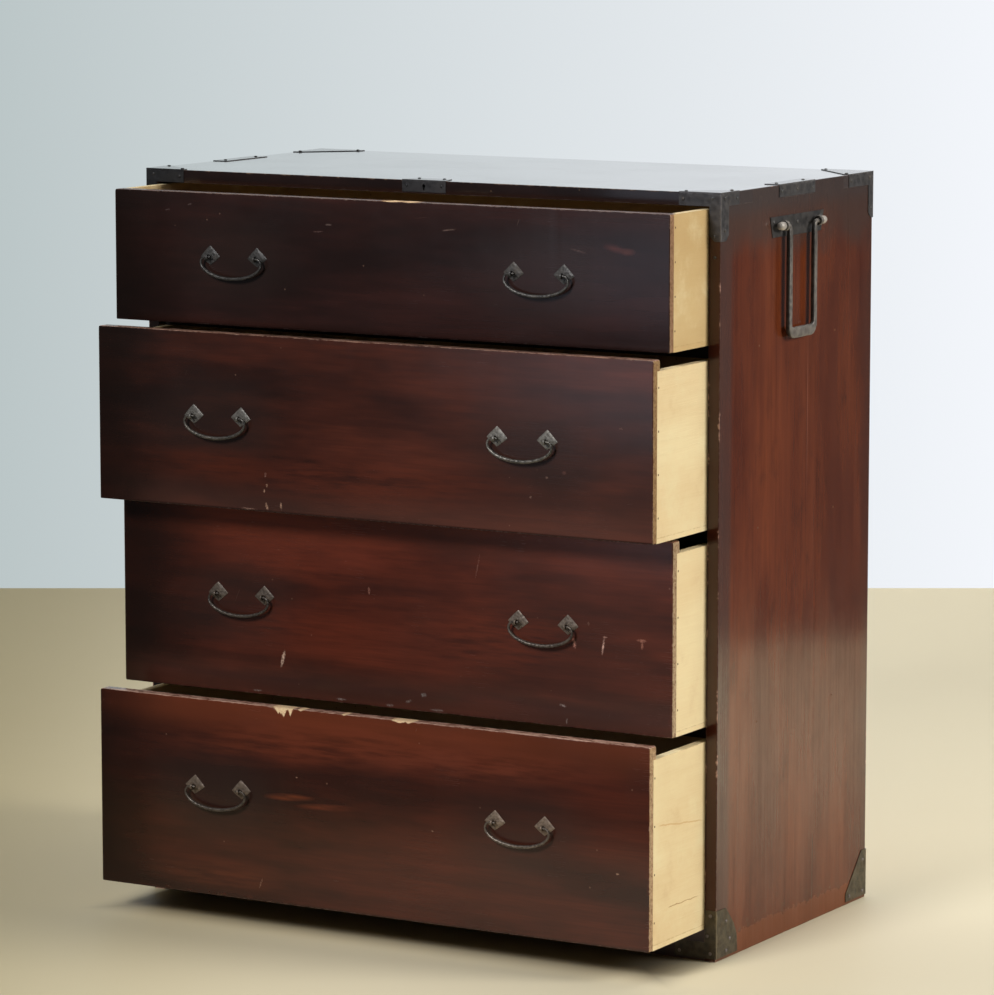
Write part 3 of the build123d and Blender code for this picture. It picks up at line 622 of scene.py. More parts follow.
def iron(name, dark, grey, rust, box, mark_size, reach, roughness):
    """Blackened iron: grey where it is worn, and along the box's edges also as a painted highlight; brown
    where rust has come through.
    """
    finish = Finish(name, "XYZ", dark)
    beaten = finish.wires.group(hammered_iron, {"Position": finish.place, "Mark Size": mark_size})
    finish.paint(beaten["Marks"] * 0.35, grey)
    finish.paint(beaten["Bloom"] * 0.45, rust)
    finish.rough = roughness
    finish.roughen(beaten["Bloom"], 0.18)
    finish.lift(beaten["Marks"], 0.6)
    finish.lift(beaten["Pits"], -0.35)
    finish.paint(finish.scuffs(0.8)["Scratches"] * 0.5, grey)
    # Along the box's edges: worn grey that is also a painted highlight.
    worn = finish.wear(box, reach, 130.0)
    finish.paint(worn * 0.75, grey)
    finish.roughen(worn, -0.12)
    return finish


def sheet_iron(name, dark, grey, rust, painted_shade_right, painted_shade_left):
    """Sheet iron; its front faces are painted blacker, more so to the left as painted shade, and its top
    faces polished.
    """
    finish = iron(name, dark, grey, rust, case_box, 0.009, 0.004, 0.42)
    front = finish.facing("Y") < -0.7
    # Front faces painted blacker, and more so to the left as painted shade.
    finish.paint(front * finish.x.fade(0.45, -0.45, painted_shade_right, painted_shade_left), "0b0b0d")
    return finish.done(0.00035, metal=0.35, coat=facing_up(finish), coat_roughness=0.12)


top_sheet = sheet_iron("black_sheet_iron", "302e2f", "6a6665", "463f3b", 0.34, 0.92)
for sheet in ("top_corner_irons", "edge_straps", "lock_plate", "lock_case"):
    dress(sheet, top_sheet)
dress("bottom_corner_irons", sheet_iron("foot_sheet_iron", "3a3327", "756850", "4c3b25", 0.22, 0.5))
dress("carry_plates", sheet_iron("plate_sheet_iron", "282626", "5f5b58", "403a35", 0.0, 0.0))
bolt_iron = iron("bolt_iron", "3a3a3a", "777673", "4a3a2c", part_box("lock_bolt"), 0.004, 0.002, 0.4)
dress("lock_bolt", bolt_iron.done(0.00035, metal=0.7))

# ---- Nails ----
# Hand-forged iron nails with domed heads, driven through every plate into the wood under it.
# No two heads are quite alike.

nail_head_height = 0.0013
nail_head_radius = 0.0027
nail_length = 0.011


def plain_mesh(piece):
    """Turns a piece and its modifiers into a plain mesh."""
    graph = bpy.context.evaluated_depsgraph_get()
    mesh = bpy.data.meshes.new_from_object(piece.evaluated_get(graph))
    piece.modifiers.clear()
    piece.data = mesh


def add_piece(name, vertices, faces, material=None, crease=40.0):
    """A mesh piece at the origin, smooth except at edges sharper than the crease angle."""
    mesh = bpy.data.meshes.new(name)
    mesh.from_pydata(vertices, [], faces)
    mesh.shade_smooth()
    mesh.set_sharp_from_angle(angle=math.radians(crease))
    if material:
        mesh.materials.append(material)
    piece = bpy.data.objects.new(name, mesh)
    collection.objects.link(piece)
    return piece


def skin(rings, closed=False):
    """Faces between rings of points; returns vertices and faces, with closed ends or as a loop."""
    sides = len(rings[0])
    vertices = [point for ring in rings for point in ring]
    faces = []
    pairs = [(index, index + 1) for index in range(len(rings) - 1)]
    if closed:
        pairs.append((len(rings) - 1, 0))
    else:
        faces.append(tuple(range(sides))[::-1])
        faces.append(tuple(range((len(rings) - 1) * sides, len(rings) * sides)))
    for first, second in pairs:
        for step in range(sides):
            after = (step + 1) % sides
            faces.append((first * sides + step, first * sides + after,
                          second * sides + after, second * sides + step))
    return vertices, faces


def nail_blank_piece(sides=10):
    """One nail along Z, turned from (radius, height) pairs."""
    wide = nail_head_radius
    tall = nail_head_height
    rim = -0.0002                  # the head's rim bites this far into the plate
    outline = [(wide * 0.34, -nail_length), (wide * 0.36, rim), (wide * 0.96, rim), (wide, tall * 0.2),
               (wide * 0.86, tall * 0.6), (wide * 0.52, tall * 0.9), (wide * 0.14, tall)]
    angles = [math.tau * step / sides for step in range(sides)]
    rings = [[(radius * math.cos(angle), radius * math.sin(angle), height) for angle in angles]
             for radius, height in outline]
    return add_piece("nail_blank", *skin(rings))


def loose_parts(mesh):
    """Boxes of the separate solids in a frame node's mesh."""
    work = bmesh.new()
    work.from_mesh(mesh)
    bmesh.ops.remove_doubles(work, verts=work.verts, dist=1e-6)
    seen = set()
    boxes = []
    for start in work.verts:
        if start in seen:
            continue
        seen.add(start)
        queue = [start]
        found = []
        while queue:
            vertex = queue.pop()
            found.append(vertex.co.copy())
            others = [edge.other_vert(vertex) for edge in vertex.link_edges]
            others = [other for other in others if other not in seen]
            seen.update(others)
            queue.extend(others)
        boxes.append((Vector(map(min, zip(*found))), Vector(map(max, zip(*found)))))
    work.free()
    return boxes


def make_set_out():
    """Sets a blank on every point, turned to the point's outward direction, each a little different."""
    tree = bpy.data.node_groups.new("set_out_fixings", "GeometryNodeTree")
    for label, kind in (("Points", "Geometry"), ("Blank", "Object"), ("Turn", "Vector"),
                        ("Size Spread", "Float"), ("Seed", "Int"), ("Material", "Material")):
        tree.interface.new_socket(name=label, in_out="INPUT", socket_type="NodeSocket" + kind)
    tree.interface.new_socket(name="Fixings", in_out="OUTPUT", socket_type="NodeSocketGeometry")
    wires = Wiring(tree)
    given = wires.node("NodeGroupInput").outputs
    blank = wires.node("GeometryNodeObjectInfo", {"Object": given["Blank"]}).outputs["Geometry"]
    outward = wires.node("GeometryNodeInputNamedAttribute", {"Name": "outward"}, data_type="FLOAT_VECTOR")
    facing = wires.node("FunctionNodeAlignRotationToVector", {"Vector": outward.outputs[0]}, axis="Z")
    low = wires.vector("MULTIPLY", given["Turn"], (-1.0, -1.0, -1.0))
    values = {"Min": low, "Max": given["Turn"], "Seed": given["Seed"]}
    wobble = wires.node("FunctionNodeRandomValue", values, data_type="FLOAT_VECTOR")
    turn = wires.node("FunctionNodeEulerToRotation", {0: wobble.outputs[0]})
    turned = wires.node("FunctionNodeRotateRotation", {0: facing.outputs[0], 1: turn.outputs[0]},
                        rotation_space="LOCAL")
    smallest = wires.math("SUBTRACT", 1.0, given["Size Spread"])
    values = {2: smallest, 3: 1.0, "Seed": given["Seed"]}
    size = wires.node("FunctionNodeRandomValue", values, data_type="FLOAT")
    values = {"Points": given["Points"], "Instance": blank, "Rotation": turned.outputs[0],
              "Scale": size.outputs[1]}
    placed = wires.node("GeometryNodeInstanceOnPoints", values)
    real = wires.node("GeometryNodeRealizeInstances", {0: placed.outputs[0]})
    values = {"Geometry": real.outputs[0], "Material": given["Material"]}
    coated = wires.node("GeometryNodeSetMaterial", values)
    wires.node("NodeGroupOutput", {0: coated.outputs[0]})
    return tree


set_out_tree = make_set_out()


def set_out(name, spots, blank, material, turn, size_spread, seed):
    """One plain mesh of the blank repeated at (place, outward) spots."""
    piece = add_piece(name, [place for place, outward in spots], [])
    outward = piece.data.attributes.new("outward", "FLOAT_VECTOR", "POINT")
    for item, (place, direction) in zip(outward.data, spots):
        item.vector = direction
    modifier = piece.modifiers.new("fixings", "NODES")
    modifier.node_group = set_out_tree
    values = {"Blank": blank, "Turn": turn, "Size Spread": size_spread, "Seed": seed, "Material": material}
    for socket in set_out_tree.interface.items_tree:
        if socket.in_out == "INPUT" and socket.name in values:
            modifier[socket.identifier] = values[socket.name]
    plain_mesh(piece)
    piece.data.shade_smooth()
    return piece


def nail_spots():
    """Where each nail meets its plate, and which way its head faces."""
    spots = []
    for low, high in loose_parts(frame["nodes"]["iron_nails"].data):
        size = high - low
        axis = max(range(3), key=lambda index: size[index])
        place = (low + high) / 2
        side = 1.0 if axis == 2 or place[axis] > 0 else -1.0
        place[axis] = (high if side > 0 else low)[axis] - side * nail_head_height
        outward = Vector((0.0, 0.0, 0.0))
        outward[axis] = side
        spots.append((place, outward))
    return spots


nail_blank = nail_blank_piece()
nail_iron = iron("nail_iron", "333333", "7c7b7a", "5a4c3e", case_box, 0.003, 0.004, 0.45)
# Painted shade: the nails are darker towards the left.
nail_iron.paint(nail_iron.x.fade(0.40, -0.10, 0.0, 0.75), "17181a")
nail_iron.paint(nail_iron.z.fade(0.16, 0.08, 0.0, 0.6), "8c807c")
nails = set_out("forged_nails", nail_spots(), nail_blank, nail_iron.done(0.00035, metal=0.5),
                turn=(0.09, 0.09, math.pi), size_spread=0.14, seed=7)
bpy.data.objects.remove(nail_blank)
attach(nails, "case")
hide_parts("iron_nails")

# ---- Carrying handles ----
# A flat bar forged into a long loop with a broad grip. Its round ends turn out through two
# ringed eyes and are upset into knobs, so that the handle swings up for a carrying pole.

carry_eye_spacing = 0.102
carry_drop = 0.155                 # pivot line down to the lower edge of the grip


def pivot_of(joint_name):
    return Vector(joints[joint_name]["pos_m"])


def carry_handle_iron():
    """Darker on the upper bars below the eyes; faces turned to the front are painted dark as shade; the
    knobs are painted pale, for wear and as a painted highlight.
    """
    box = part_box("carry_bail_right")
    finish = iron("carry_iron", "5a5551", "a59b90", "6c6055", box, 0.007, 0.003, 0.44)
    pivot = pivot_of("carry_bail_right_swing")
    upper_bar_darkening = finish.z.fade(pivot.z - 0.070, pivot.z - 0.015, 0.0, 0.5)
    below_eyes = finish.z.fade(pivot.z - 0.009, pivot.z - 0.004, 1.0, 0.0)
    finish.paint(upper_bar_darkening * below_eyes, "2a2926")
    # Painted shade: faces turned to the front are darker.
    finish.paint(finish.facing("Y").fade(-0.2, -0.7, 0.0, 0.65), "191715")
    # The knobs are paler: wear, and a painted highlight.
    finish.paint(abs(finish.y - pivot.y).fade(0.0546, 0.0552, 0.0, 0.75), "b4aca2")
    return finish.done(0.0004, metal=0.35)


carry_iron = carry_handle_iron()


def ring_points(centre, across, out, half_across, half_out, squareness, sides, roughing):
    """One section of a forged bar: between an ellipse and a rounded oblong."""
    points = []
    power = 1.0 - 0.62 * squareness
    for step in range(sides):
        angle = math.tau * (step + 0.5) / sides
        c = math.copysign(abs(math.cos(angle)) ** power, math.cos(angle))
        s = math.copysign(abs(math.sin(angle)) ** power, math.sin(angle))
        point = centre + across * (half_across * c) + out * (half_out * s)
        shift = noise.noise(point * 160.0) * roughing
        points.append(point + (point - centre).normalized() * shift)
    return points


def forged_piece(name, vertices, faces, material=None, crease=40.0):
    """A mesh piece whose faces all look outwards."""
    piece = add_piece(name, vertices, faces, material, crease)
    work = bmesh.new()
    work.from_mesh(piece.data)
    bmesh.ops.recalc_face_normals(work, faces=work.faces)
    work.to_mesh(piece.data)
    work.free()
    return piece


def carry_path():
    """Stations of one half of the loop, from its knob to the middle of the grip.

    Each is (y, z, tangent y, tangent z, half width, half depth, squareness)."""
    bar_spacing = 0.0375
    bar_half = 0.0050
    bar_depth = 0.00325
    bar_square = 0.75
    pin = 0.0028
    pin_widening = 0.0016
    bend = 0.0062
    corner = 0.0112
    grip_half = 0.0075
    stations = []
    for y, knob in ((0.0704, 0.0010), (0.0698, 0.0026), (0.0684, 0.0041), (0.0662, 0.0051), (0.0630, 0.0056),
                    (0.0592, 0.0057), (0.0566, 0.0053), (0.0557, 0.0044)):
        stations.append((y, 0.0, -1.0, 0.0, knob, knob, 0.1))
    for y in (0.0549, 0.0540, 0.0500, 0.0460):
        stations.append((y, 0.0, -1.0, 0.0, pin, pin, 0.0))
    for degrees in (15, 40, 65, 90):
        angle = math.radians(degrees)
        y = bar_spacing + bend - bend * math.sin(angle)
        z = -bend + bend * math.cos(angle)
        half = pin + pin_widening * degrees / 90
        stations.append((y, z, -math.cos(angle), -math.sin(angle), half, pin, 0.4 * degrees / 90))
    for z in (-0.014, -0.03, -0.05, -0.07, -0.09, -0.11, -0.125):
        stations.append((bar_spacing, z, 0.0, -1.0, bar_half, bar_depth, bar_square))
    low = grip_half - carry_drop
    for degrees in (0, 22, 45, 68, 90):
        angle = math.radians(degrees)
        y = bar_spacing - corner + corner * math.cos(angle)
        z = low + corner - corner * math.sin(angle)
        half = bar_half + (grip_half - bar_half) * math.sin(angle) ** 1.5
        stations.append((y, z, -math.sin(angle), -math.cos(angle), half, bar_depth, bar_square))
    stations.append((0.013, low, -1.0, 0.0, grip_half, bar_depth, bar_square))
    return stations


def with_other_half(half):
    """Goes on with the mirror image of half a handle's stations."""
    return half + [(-across, z, ta, -tz, *rest) for across, z, ta, tz, *rest in half[::-1]]


def carry_handle(label, side):
    pivot = pivot_of(f"carry_bail_{label}_swing")
    out = Vector((side, 0.0, 0.0))
    sections = []
    for y, z, ty, tz, wide, deep, square in with_other_half(carry_path()):
        centre = pivot + Vector((0.0, y, z))
        across = Vector((0.0, -tz, ty))
        sections.append(ring_points(centre, across, out, wide, deep, square, 20, 0.00045))
    piece = forged_piece(f"forged_carry_loop_{label}", *skin(sections), carry_iron)
    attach(piece, f"carry_bail_{label}")
    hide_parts(f"carry_bail_{label}")


def split_eye(standoff, ring_centre, ring_half, ring_width, shank_half, leg_depth, leg_length):
    """An eye that points to -Y from the face Y = 0: a ring, a square shank and two legs bent over."""
    vertices = []
    faces = []

    def add(sections, closed=False):
        start = len(vertices)
        more_vertices, more_faces = skin(sections, closed)
        vertices.extend(more_vertices)
        faces.extend(tuple(start + corner for corner in face) for face in more_faces)

    sideways = Vector((1.0, 0.0, 0.0))
    inwards = Vector((0.0, 1.0, 0.0))
    upwards = Vector((0.0, 0.0, 1.0))
    ring = []
    for step in range(20):
        angle = math.tau * step / 20
        outward = Vector((0.0, math.cos(angle), math.sin(angle)))
        centre = outward * ring_centre - inwards * standoff
        ring.append(ring_points(centre, outward, sideways, ring_half, ring_width / 2, 0.3, 10, 0.0001))
    add(ring, closed=True)
    shank = []
    for y in (ring_centre - standoff + 0.0004, -0.0030, 0.0, leg_depth * 0.5, leg_depth - 0.0008):
        shank.append(ring_points(inwards * y, sideways, upwards, shank_half, shank_half, 0.7, 12, 0.0))
    add(shank)
    leg_stations = ((0.0, -0.0009, 0.93), (0.18, 0.0, 0.93), (0.5, 0.0, 0.87), (0.83, -0.0001, 0.6),
                    (1.0, -0.0003, 0.2))
    for way in (-1.0, 1.0):
        leg = []
        for reach, depth, share in leg_stations:
            centre = Vector((0.0, leg_depth + depth, way * leg_length * reach))
            leg.append(ring_points(centre, sideways, inwards, shank_half * share, 0.0006, 0.4, 8, 0.0))
        add(leg)
    return vertices, faces


def carry_eyes():
    """The four eyes of both carrying handles."""
    side_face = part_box("side_panel_right")[1].x
    vertices = []
    faces = []
    for label, side in (("left", -1.0), ("right", 1.0)):
        pivot = pivot_of(f"carry_bail_{label}_swing")
        eye_vertices, eye_faces = split_eye(
            standoff=abs(pivot.x) - side_face, ring_centre=0.00524, ring_half=0.0019, ring_width=0.0070,
            shank_half=0.0029, leg_depth=0.0159, leg_length=0.0135)
        turn = Matrix.Rotation(side * math.pi / 2, 3, "Z")
        for way in (-1.0, 1.0):
            place = Vector((side * side_face, pivot.y + way * carry_eye_spacing / 2, pivot.z))
            start = len(vertices)
            vertices.extend(place + turn @ vertex for vertex in eye_vertices)
            faces.extend(tuple(start + corner for corner in face) for face in eye_faces)
    piece = forged_piece("forged_carry_eyes", vertices, faces, carry_iron)
    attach(piece, "case")
    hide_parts("carry_eyes")


carry_handle("left", -1.0)
carry_handle("right", 1.0)
carry_eyes()

# ---- Drawer fronts ----
# A lacquered board with its grain across. Ten millimetres of it cover the ends of the sides,
# which are let into its back. Hands have worn the top edge, and corners have chipped.


def wavering(place, seed, scale):
    """A smooth, repeatable value from -1 to 1 along a board's edge."""
    return noise.noise(Vector((place * scale, seed * 7.31, seed * 1.77)))


def worn_board(name, low, high, seed, rounding, chips, step=0.006, corner_radius=0.0035):
    """A board along X whose four long edges are rounded unevenly and chipped here and there.

    Edges are numbered 0 bottom front, 1 bottom back, 2 top back, 3 top front. A chip is
    (edge, centre, half length, depth)."""
    count = int((high.x - low.x) / step)
    end_length = 0.0045
    near_end = (0.0, 0.0003, 0.0008, 0.0015, 0.0026, 0.0038)
    between = high.x - low.x - 2 * end_length
    stations = [low.x + away for away in near_end]
    stations += [low.x + end_length + between * index / count for index in range(count + 1)]
    stations += [high.x - away for away in near_end[::-1]]
    corners = [(low.y, low.z, 1, 1), (high.y, low.z, -1, 1),
               (high.y, high.z, -1, -1), (low.y, high.z, 1, -1)]
    sections = []
    for x in stations:
        section = []
        from_end = min(x - low.x, high.x - x)
        inset = max(0.0, rounding * 1.2 - from_end)
        beyond = max(0.0, corner_radius - from_end)
        corner_drop = corner_radius - math.sqrt(max(0.0, corner_radius ** 2 - beyond ** 2))
        for edge, (y, z, to_y, to_z) in enumerate(corners):
            waves = 0.55 * wavering(x, seed + edge, 55.0) + 0.3 * wavering(x, seed + edge, 260.0)
            radius = rounding * (1.0 + waves)
            for chip_edge, centre, half_length, depth in chips:
                if chip_edge == edge:
                    reach = max(0.0, 1.0 - ((x - centre) / half_length) ** 2)
                    rough = 1.0 + 0.5 * wavering(x, seed + 11, 420.0)
                    radius += depth * math.sqrt(reach) * rough
            y += to_y * (inset + radius)
            z += to_z * (inset + radius) - (corner_drop if to_z < 0 else 0.0)
            for part in range(5):
                angle = math.radians((edge + 2) * 90 + part * 22.5)
                section.append(Vector((x, y + radius * math.cos(angle), z + radius * math.sin(angle))))
        sections.append(section)
    return forged_piece(name, *skin(sections), crease=50.0)


def cut_boxes(piece, boxes):
    """Cuts boxes out of a piece, as a saw and chisel would."""
    tools = []
    for low, high in boxes:
        bottom = [(low.x, low.y), (high.x, low.y), (high.x, high.y), (low.x, high.y)]
        vertices = [(x, y, z) for z in (low.z, high.z) for x, y in bottom]
        faces = [(3, 2, 1, 0), (4, 5, 6, 7), (0, 1, 5, 4), (1, 2, 6, 5), (2, 3, 7, 6), (3, 0, 4, 7)]
        tools.append(add_piece("cutting_tool", vertices, faces))
        modifier = piece.modifiers.new("cut", "BOOLEAN")
        modifier.operation = "DIFFERENCE"
        modifier.solver = "EXACT"
        modifier.object = tools[-1]
    plain_mesh(piece)
    piece.data.set_sharp_from_angle(angle=math.radians(40))
    for tool in tools:
        bpy.data.objects.remove(tool)


def new_oval_mark(name, half_size):
    """An empty effect group for a mark in a turned oval about a centre."""
    inputs = {"Position": (0, 0, 0), "Centre": (0, 0, 0), "Half Size": half_size, "Turn": 0.0}
    return new_group(name, inputs, "Mask")


def oval_distance(wires, given, away):
    """Zero in the middle of the turned oval and one on its outline."""
    values = {"Vector": away, "Angle": given["Turn"]}
    turned = wires.node("ShaderNodeVectorRotate", values, rotation_type="Y_AXIS").outputs[0]
    return wires.length(wires.vector("DIVIDE", turned, given["Half Size"]))


def make_chip_mark():
    """One scar on a front, with a ragged and broken outline."""
    wires, given, result = new_oval_mark("chip_mark", (0.002, 1, 0.002))
    place = given["Position"]
    values = {"Vector": place, "Scale": 380.0, "Detail": 5.0, "Roughness": 0.7}
    coarse = wires.node("ShaderNodeTexNoise", values).outputs[1]
    shift = wires.vector("MULTIPLY", wires.vector("SUBTRACT", coarse, (0.5, 0.5, 0.5)),
                         (0.0055, 0.0055, 0.0055))
    away = wires.vector("ADD", wires.vector("SUBTRACT", place, given["Centre"]), shift)
    inside = oval_distance(wires, given, away).fade(1.1, 0.35)
    broken = wires.noise(place, 700.0, 3.0, 0.6)
    wires.feed(result["Mask"], inside * broken.fade(0.40, 0.60, 0.1, 0.85))
    return wires.tree


def make_stain():
    """A soft patch drawn out along the grain, broken into streaks."""
    wires, given, result = new_oval_mark("stain", (0.02, 1, 0.005))
    away = wires.vector("SUBTRACT", given["Position"], given["Centre"])
    inside = oval_distance(wires, given, away).fade(1.1, 0.1)
    streaks = wires.streaks(given["Position"], (14.0, 130.0, 130.0), 4.0, 0.6)
    wires.feed(result["Mask"], inside * streaks.fade(0.28, 0.66, 0.15, 1.0))
    return wires.tree


def make_torn_edge():
    """One wedge of lacquer and wood torn off downwards from a top edge."""
    inputs = {"Position": (0, 0, 0), "Centre": (0, 0, 0), "Half Length": 0.02, "Depth": 0.01}
    wires, given, result = new_group("torn_edge", inputs, "Mask")
    across, behind, below = wires.parts(wires.vector("SUBTRACT", given["Centre"], given["Position"]))
    splinters = wires.streaks(given["Position"], (700.0, 0.0, 160.0), 3.0, 0.6)
    along = (splinters - 0.5) * 0.9 + abs(across) / given["Half Length"]
    depth = given["Depth"] * (1.0 - along)
    wires.feed(result["Mask"], (depth - below).fade(-0.0003, 0.0005))
    return wires.tree


chip_mark = make_chip_mark()
stain = make_stain()
torn_edge = make_torn_edge()
front_leaf = 0.010                 # what covers the ends of the drawer's sides
grime_reach = 0.085                # how far from a handle hands have darkened the lacquer
pale_scar = "b08a70"
bare_wood = "dcc394"

# Scars are (across from the middle, above the bottom edge, half length, half width, degrees, colour).
scars = {
    1: [(-0.349, 0.156, 0.004, 0.0012, 10, "4c3a36"), (-0.312, 0.165, 0.004, 0.0012, 15, "584640"),
        (-0.087, 0.146, 0.006, 0.0013, 0, "6a564c"), (-0.104, 0.136, 0.009, 0.0011, 5, "543a32"),
        (0.102, 0.147, 0.012, 0.0012, 8, "745c4e"), (0.300, 0.128, 0.014, 0.0012, -12, "5c443e")],
    2: [(-0.163, 0.051, 0.0020, 0.004, 0, "7e5c50"), (-0.161, 0.037, 0.0014, 0.003, 0, pale_scar),
        (-0.165, 0.029, 0.0014, 0.003, 0, pale_scar), (-0.161, 0.008, 0.0022, 0.006, 20, pale_scar),
        (-0.138, 0.010, 0.0017, 0.006, 5, pale_scar), (-0.190, 0.003, 0.016, 0.0012, 0, "806254"),
        (0.278, 0.078, 0.0024, 0.0018, 0, "8d6c5c"), (0.304, 0.086, 0.0030, 0.0024, 0, "74483c"),
        (0.253, 0.050, 0.0020, 0.0014, 0, "8d6c5c"), (0.389, 0.150, 0.0040, 0.0010, 0, "6a4a3c")],
    3: [(0.139, 0.207, 0.0011, 0.020, -12, "6a4234"), (-0.173, 0.053, 0.0028, 0.0135, -14, "e0bca2"),
        (-0.033, 0.160, 0.0020, 0.006, 5, "8a5a4a"), (0.288, 0.115, 0.0030, 0.008, 10, "b87e6c"),
        (0.332, 0.114, 0.0018, 0.013, -8, "d6aa98"), (0.335, 0.127, 0.0040, 0.0014, 0, "c09482"),
        (0.390, 0.127, 0.0085, 0.0024, 0, "a46c58"), (0.391, 0.120, 0.0024, 0.0055, 0, "a46c58"),
        (0.310, 0.143, 0.0018, 0.003, 0, "6a4a3c"), (0.271, 0.029, 0.0060, 0.0020, -8, "9c8a80"),
        (0.277, 0.008, 0.0014, 0.0050, 0, "8a7a70"),
        (0.054, 0.023, 0.0050, 0.0034, 0, "8a8078"), (-0.215, 0.005, 0.008, 0.0016, 0, "7c6c62"),
        (-0.078, 0.005, 0.009, 0.0018, 0, "8a7a70"), (0.000, 0.004, 0.007, 0.0020, 0, "8a7a70"),
        (0.030, 0.012, 0.006, 0.0024, 20, "7c6c62"), (0.075, 0.004, 0.012, 0.0018, 0, "8a7a70")],
    4: [(-0.112, 0.180, 0.0016, 0.0012, 0, pale_scar), (0.389, 0.101, 0.0022, 0.0018, 0, pale_scar),
        (-0.171, 0.026, 0.0012, 0.009, -22, "7a5a46"), (0.105, 0.128, 0.0016, 0.0012, 0, pale_scar)],
}
# Stains are given in the same way, and have no sharp outline.
stains = {
    1: [(0.354, 0.134, 0.022, 0.0070, -10, "5c302a"), (0.374, 0.130, 0.014, 0.0060, 0, "5c322a")],
    2: [(0.000, 0.055, 0.300, 0.0450, 2, "5c2818"), (-0.25, 0.060, 0.120, 0.0300, 0, "50200f")],
    3: [(-0.10, 0.200, 0.260, 0.0400, 2, "602818"), (0.16, 0.110, 0.220, 0.0700, 4, "642c1c"),
        (-0.12, 0.100, 0.180, 0.0500, 2, "5a2414")],
    4: [(-0.06, 0.230, 0.340, 0.0420, 3, "6a301c"), (0.200, 0.225, 0.230, 0.0300, 3, "66301e"),
        (-0.124, 0.151, 0.046, 0.0060, 3, "7c3c20"), (-0.062, 0.143, 0.056, 0.0056, 3, "70351e"),
        (-0.24, 0.030, 0.140, 0.0260, 0, "5c2a16")],
}
# Chips are (edge, centre, half length, depth), with edges numbered as in worn_board.
chips = {
    1: [(3, 0.024, 0.034, 0.0010), (3, 0.267, 0.004, 0.0016), (3, -0.30, 0.010, 0.0006)],
    2: [(3, 0.36, 0.050, 0.0008), (3, -0.02, 0.006, 0.0012), (0, -0.19, 0.012, 0.0010)],
    3: [(3, -0.20, 0.012, 0.0008), (0, 0.10, 0.016, 0.0010), (0, -0.04, 0.010, 0.0010),
        (0, 0.22, 0.012, 0.0008)],
    4: [(3, -0.137, 0.018, 0.0040), (3, 0.061, 0.012, 0.0022), (3, -0.105, 0.005, 0.0012),
        (3, 0.30, 0.05, 0.0008), (3, -0.30, 0.04, 0.0008)],
}
# Torn wedges are (across from the middle, half length, depth) on the top edge.
tears = {1: [(0.012, 0.016, 0.0010), (0.040, 0.012, 0.0008)], 2: [], 3: [],
         4: [(-0.1365, 0.0150, 0.0085), (-0.1410, 0.0080, 0.0082), (-0.1325, 0.0065, 0.0122),
             (-0.1215, 0.0046, 0.0100), (-0.1050, 0.0050, 0.0020), (-0.035, 0.004, 0.0016),
             (0.053, 0.014, 0.0034), (0.067, 0.008, 0.0028)]}
# The left end is darkened with painted shade, where less light falls; reach is where that ends.
painted_shade_reach = {1: 0.24, 2: 0.29, 3: 0.29, 4: 0.24}
front_tones = {1: ("1a0c09", "351a15"), 2: ("200d08", "522517"),
               3: ("240d07", "5c2616"), 4: ("260f08", "4e2012")}
top_edge_wear_and_sheen_tones = {1: "705246", 2: "a47e6a", 3: "7a5848", 4: "c09a86"}
front_end_tones = {1: "9c775a", 2: "a28258", 3: "b69c7a", 4: "b4926c"}
low_painted_sheen_share = {1: 0.0, 2: 0.20, 3: 0.26, 4: 0.0}
top_band_share = {1: 0.0, 2: 0.0, 3: 0.2, 4: 0.36}
edge_wear_share = {1: 0.15, 2: 0.25, 3: 0.45, 4: 0.45}
lower_edge_shade = {1: 0.85, 2: 0.85, 3: 0.35, 4: 0.7}


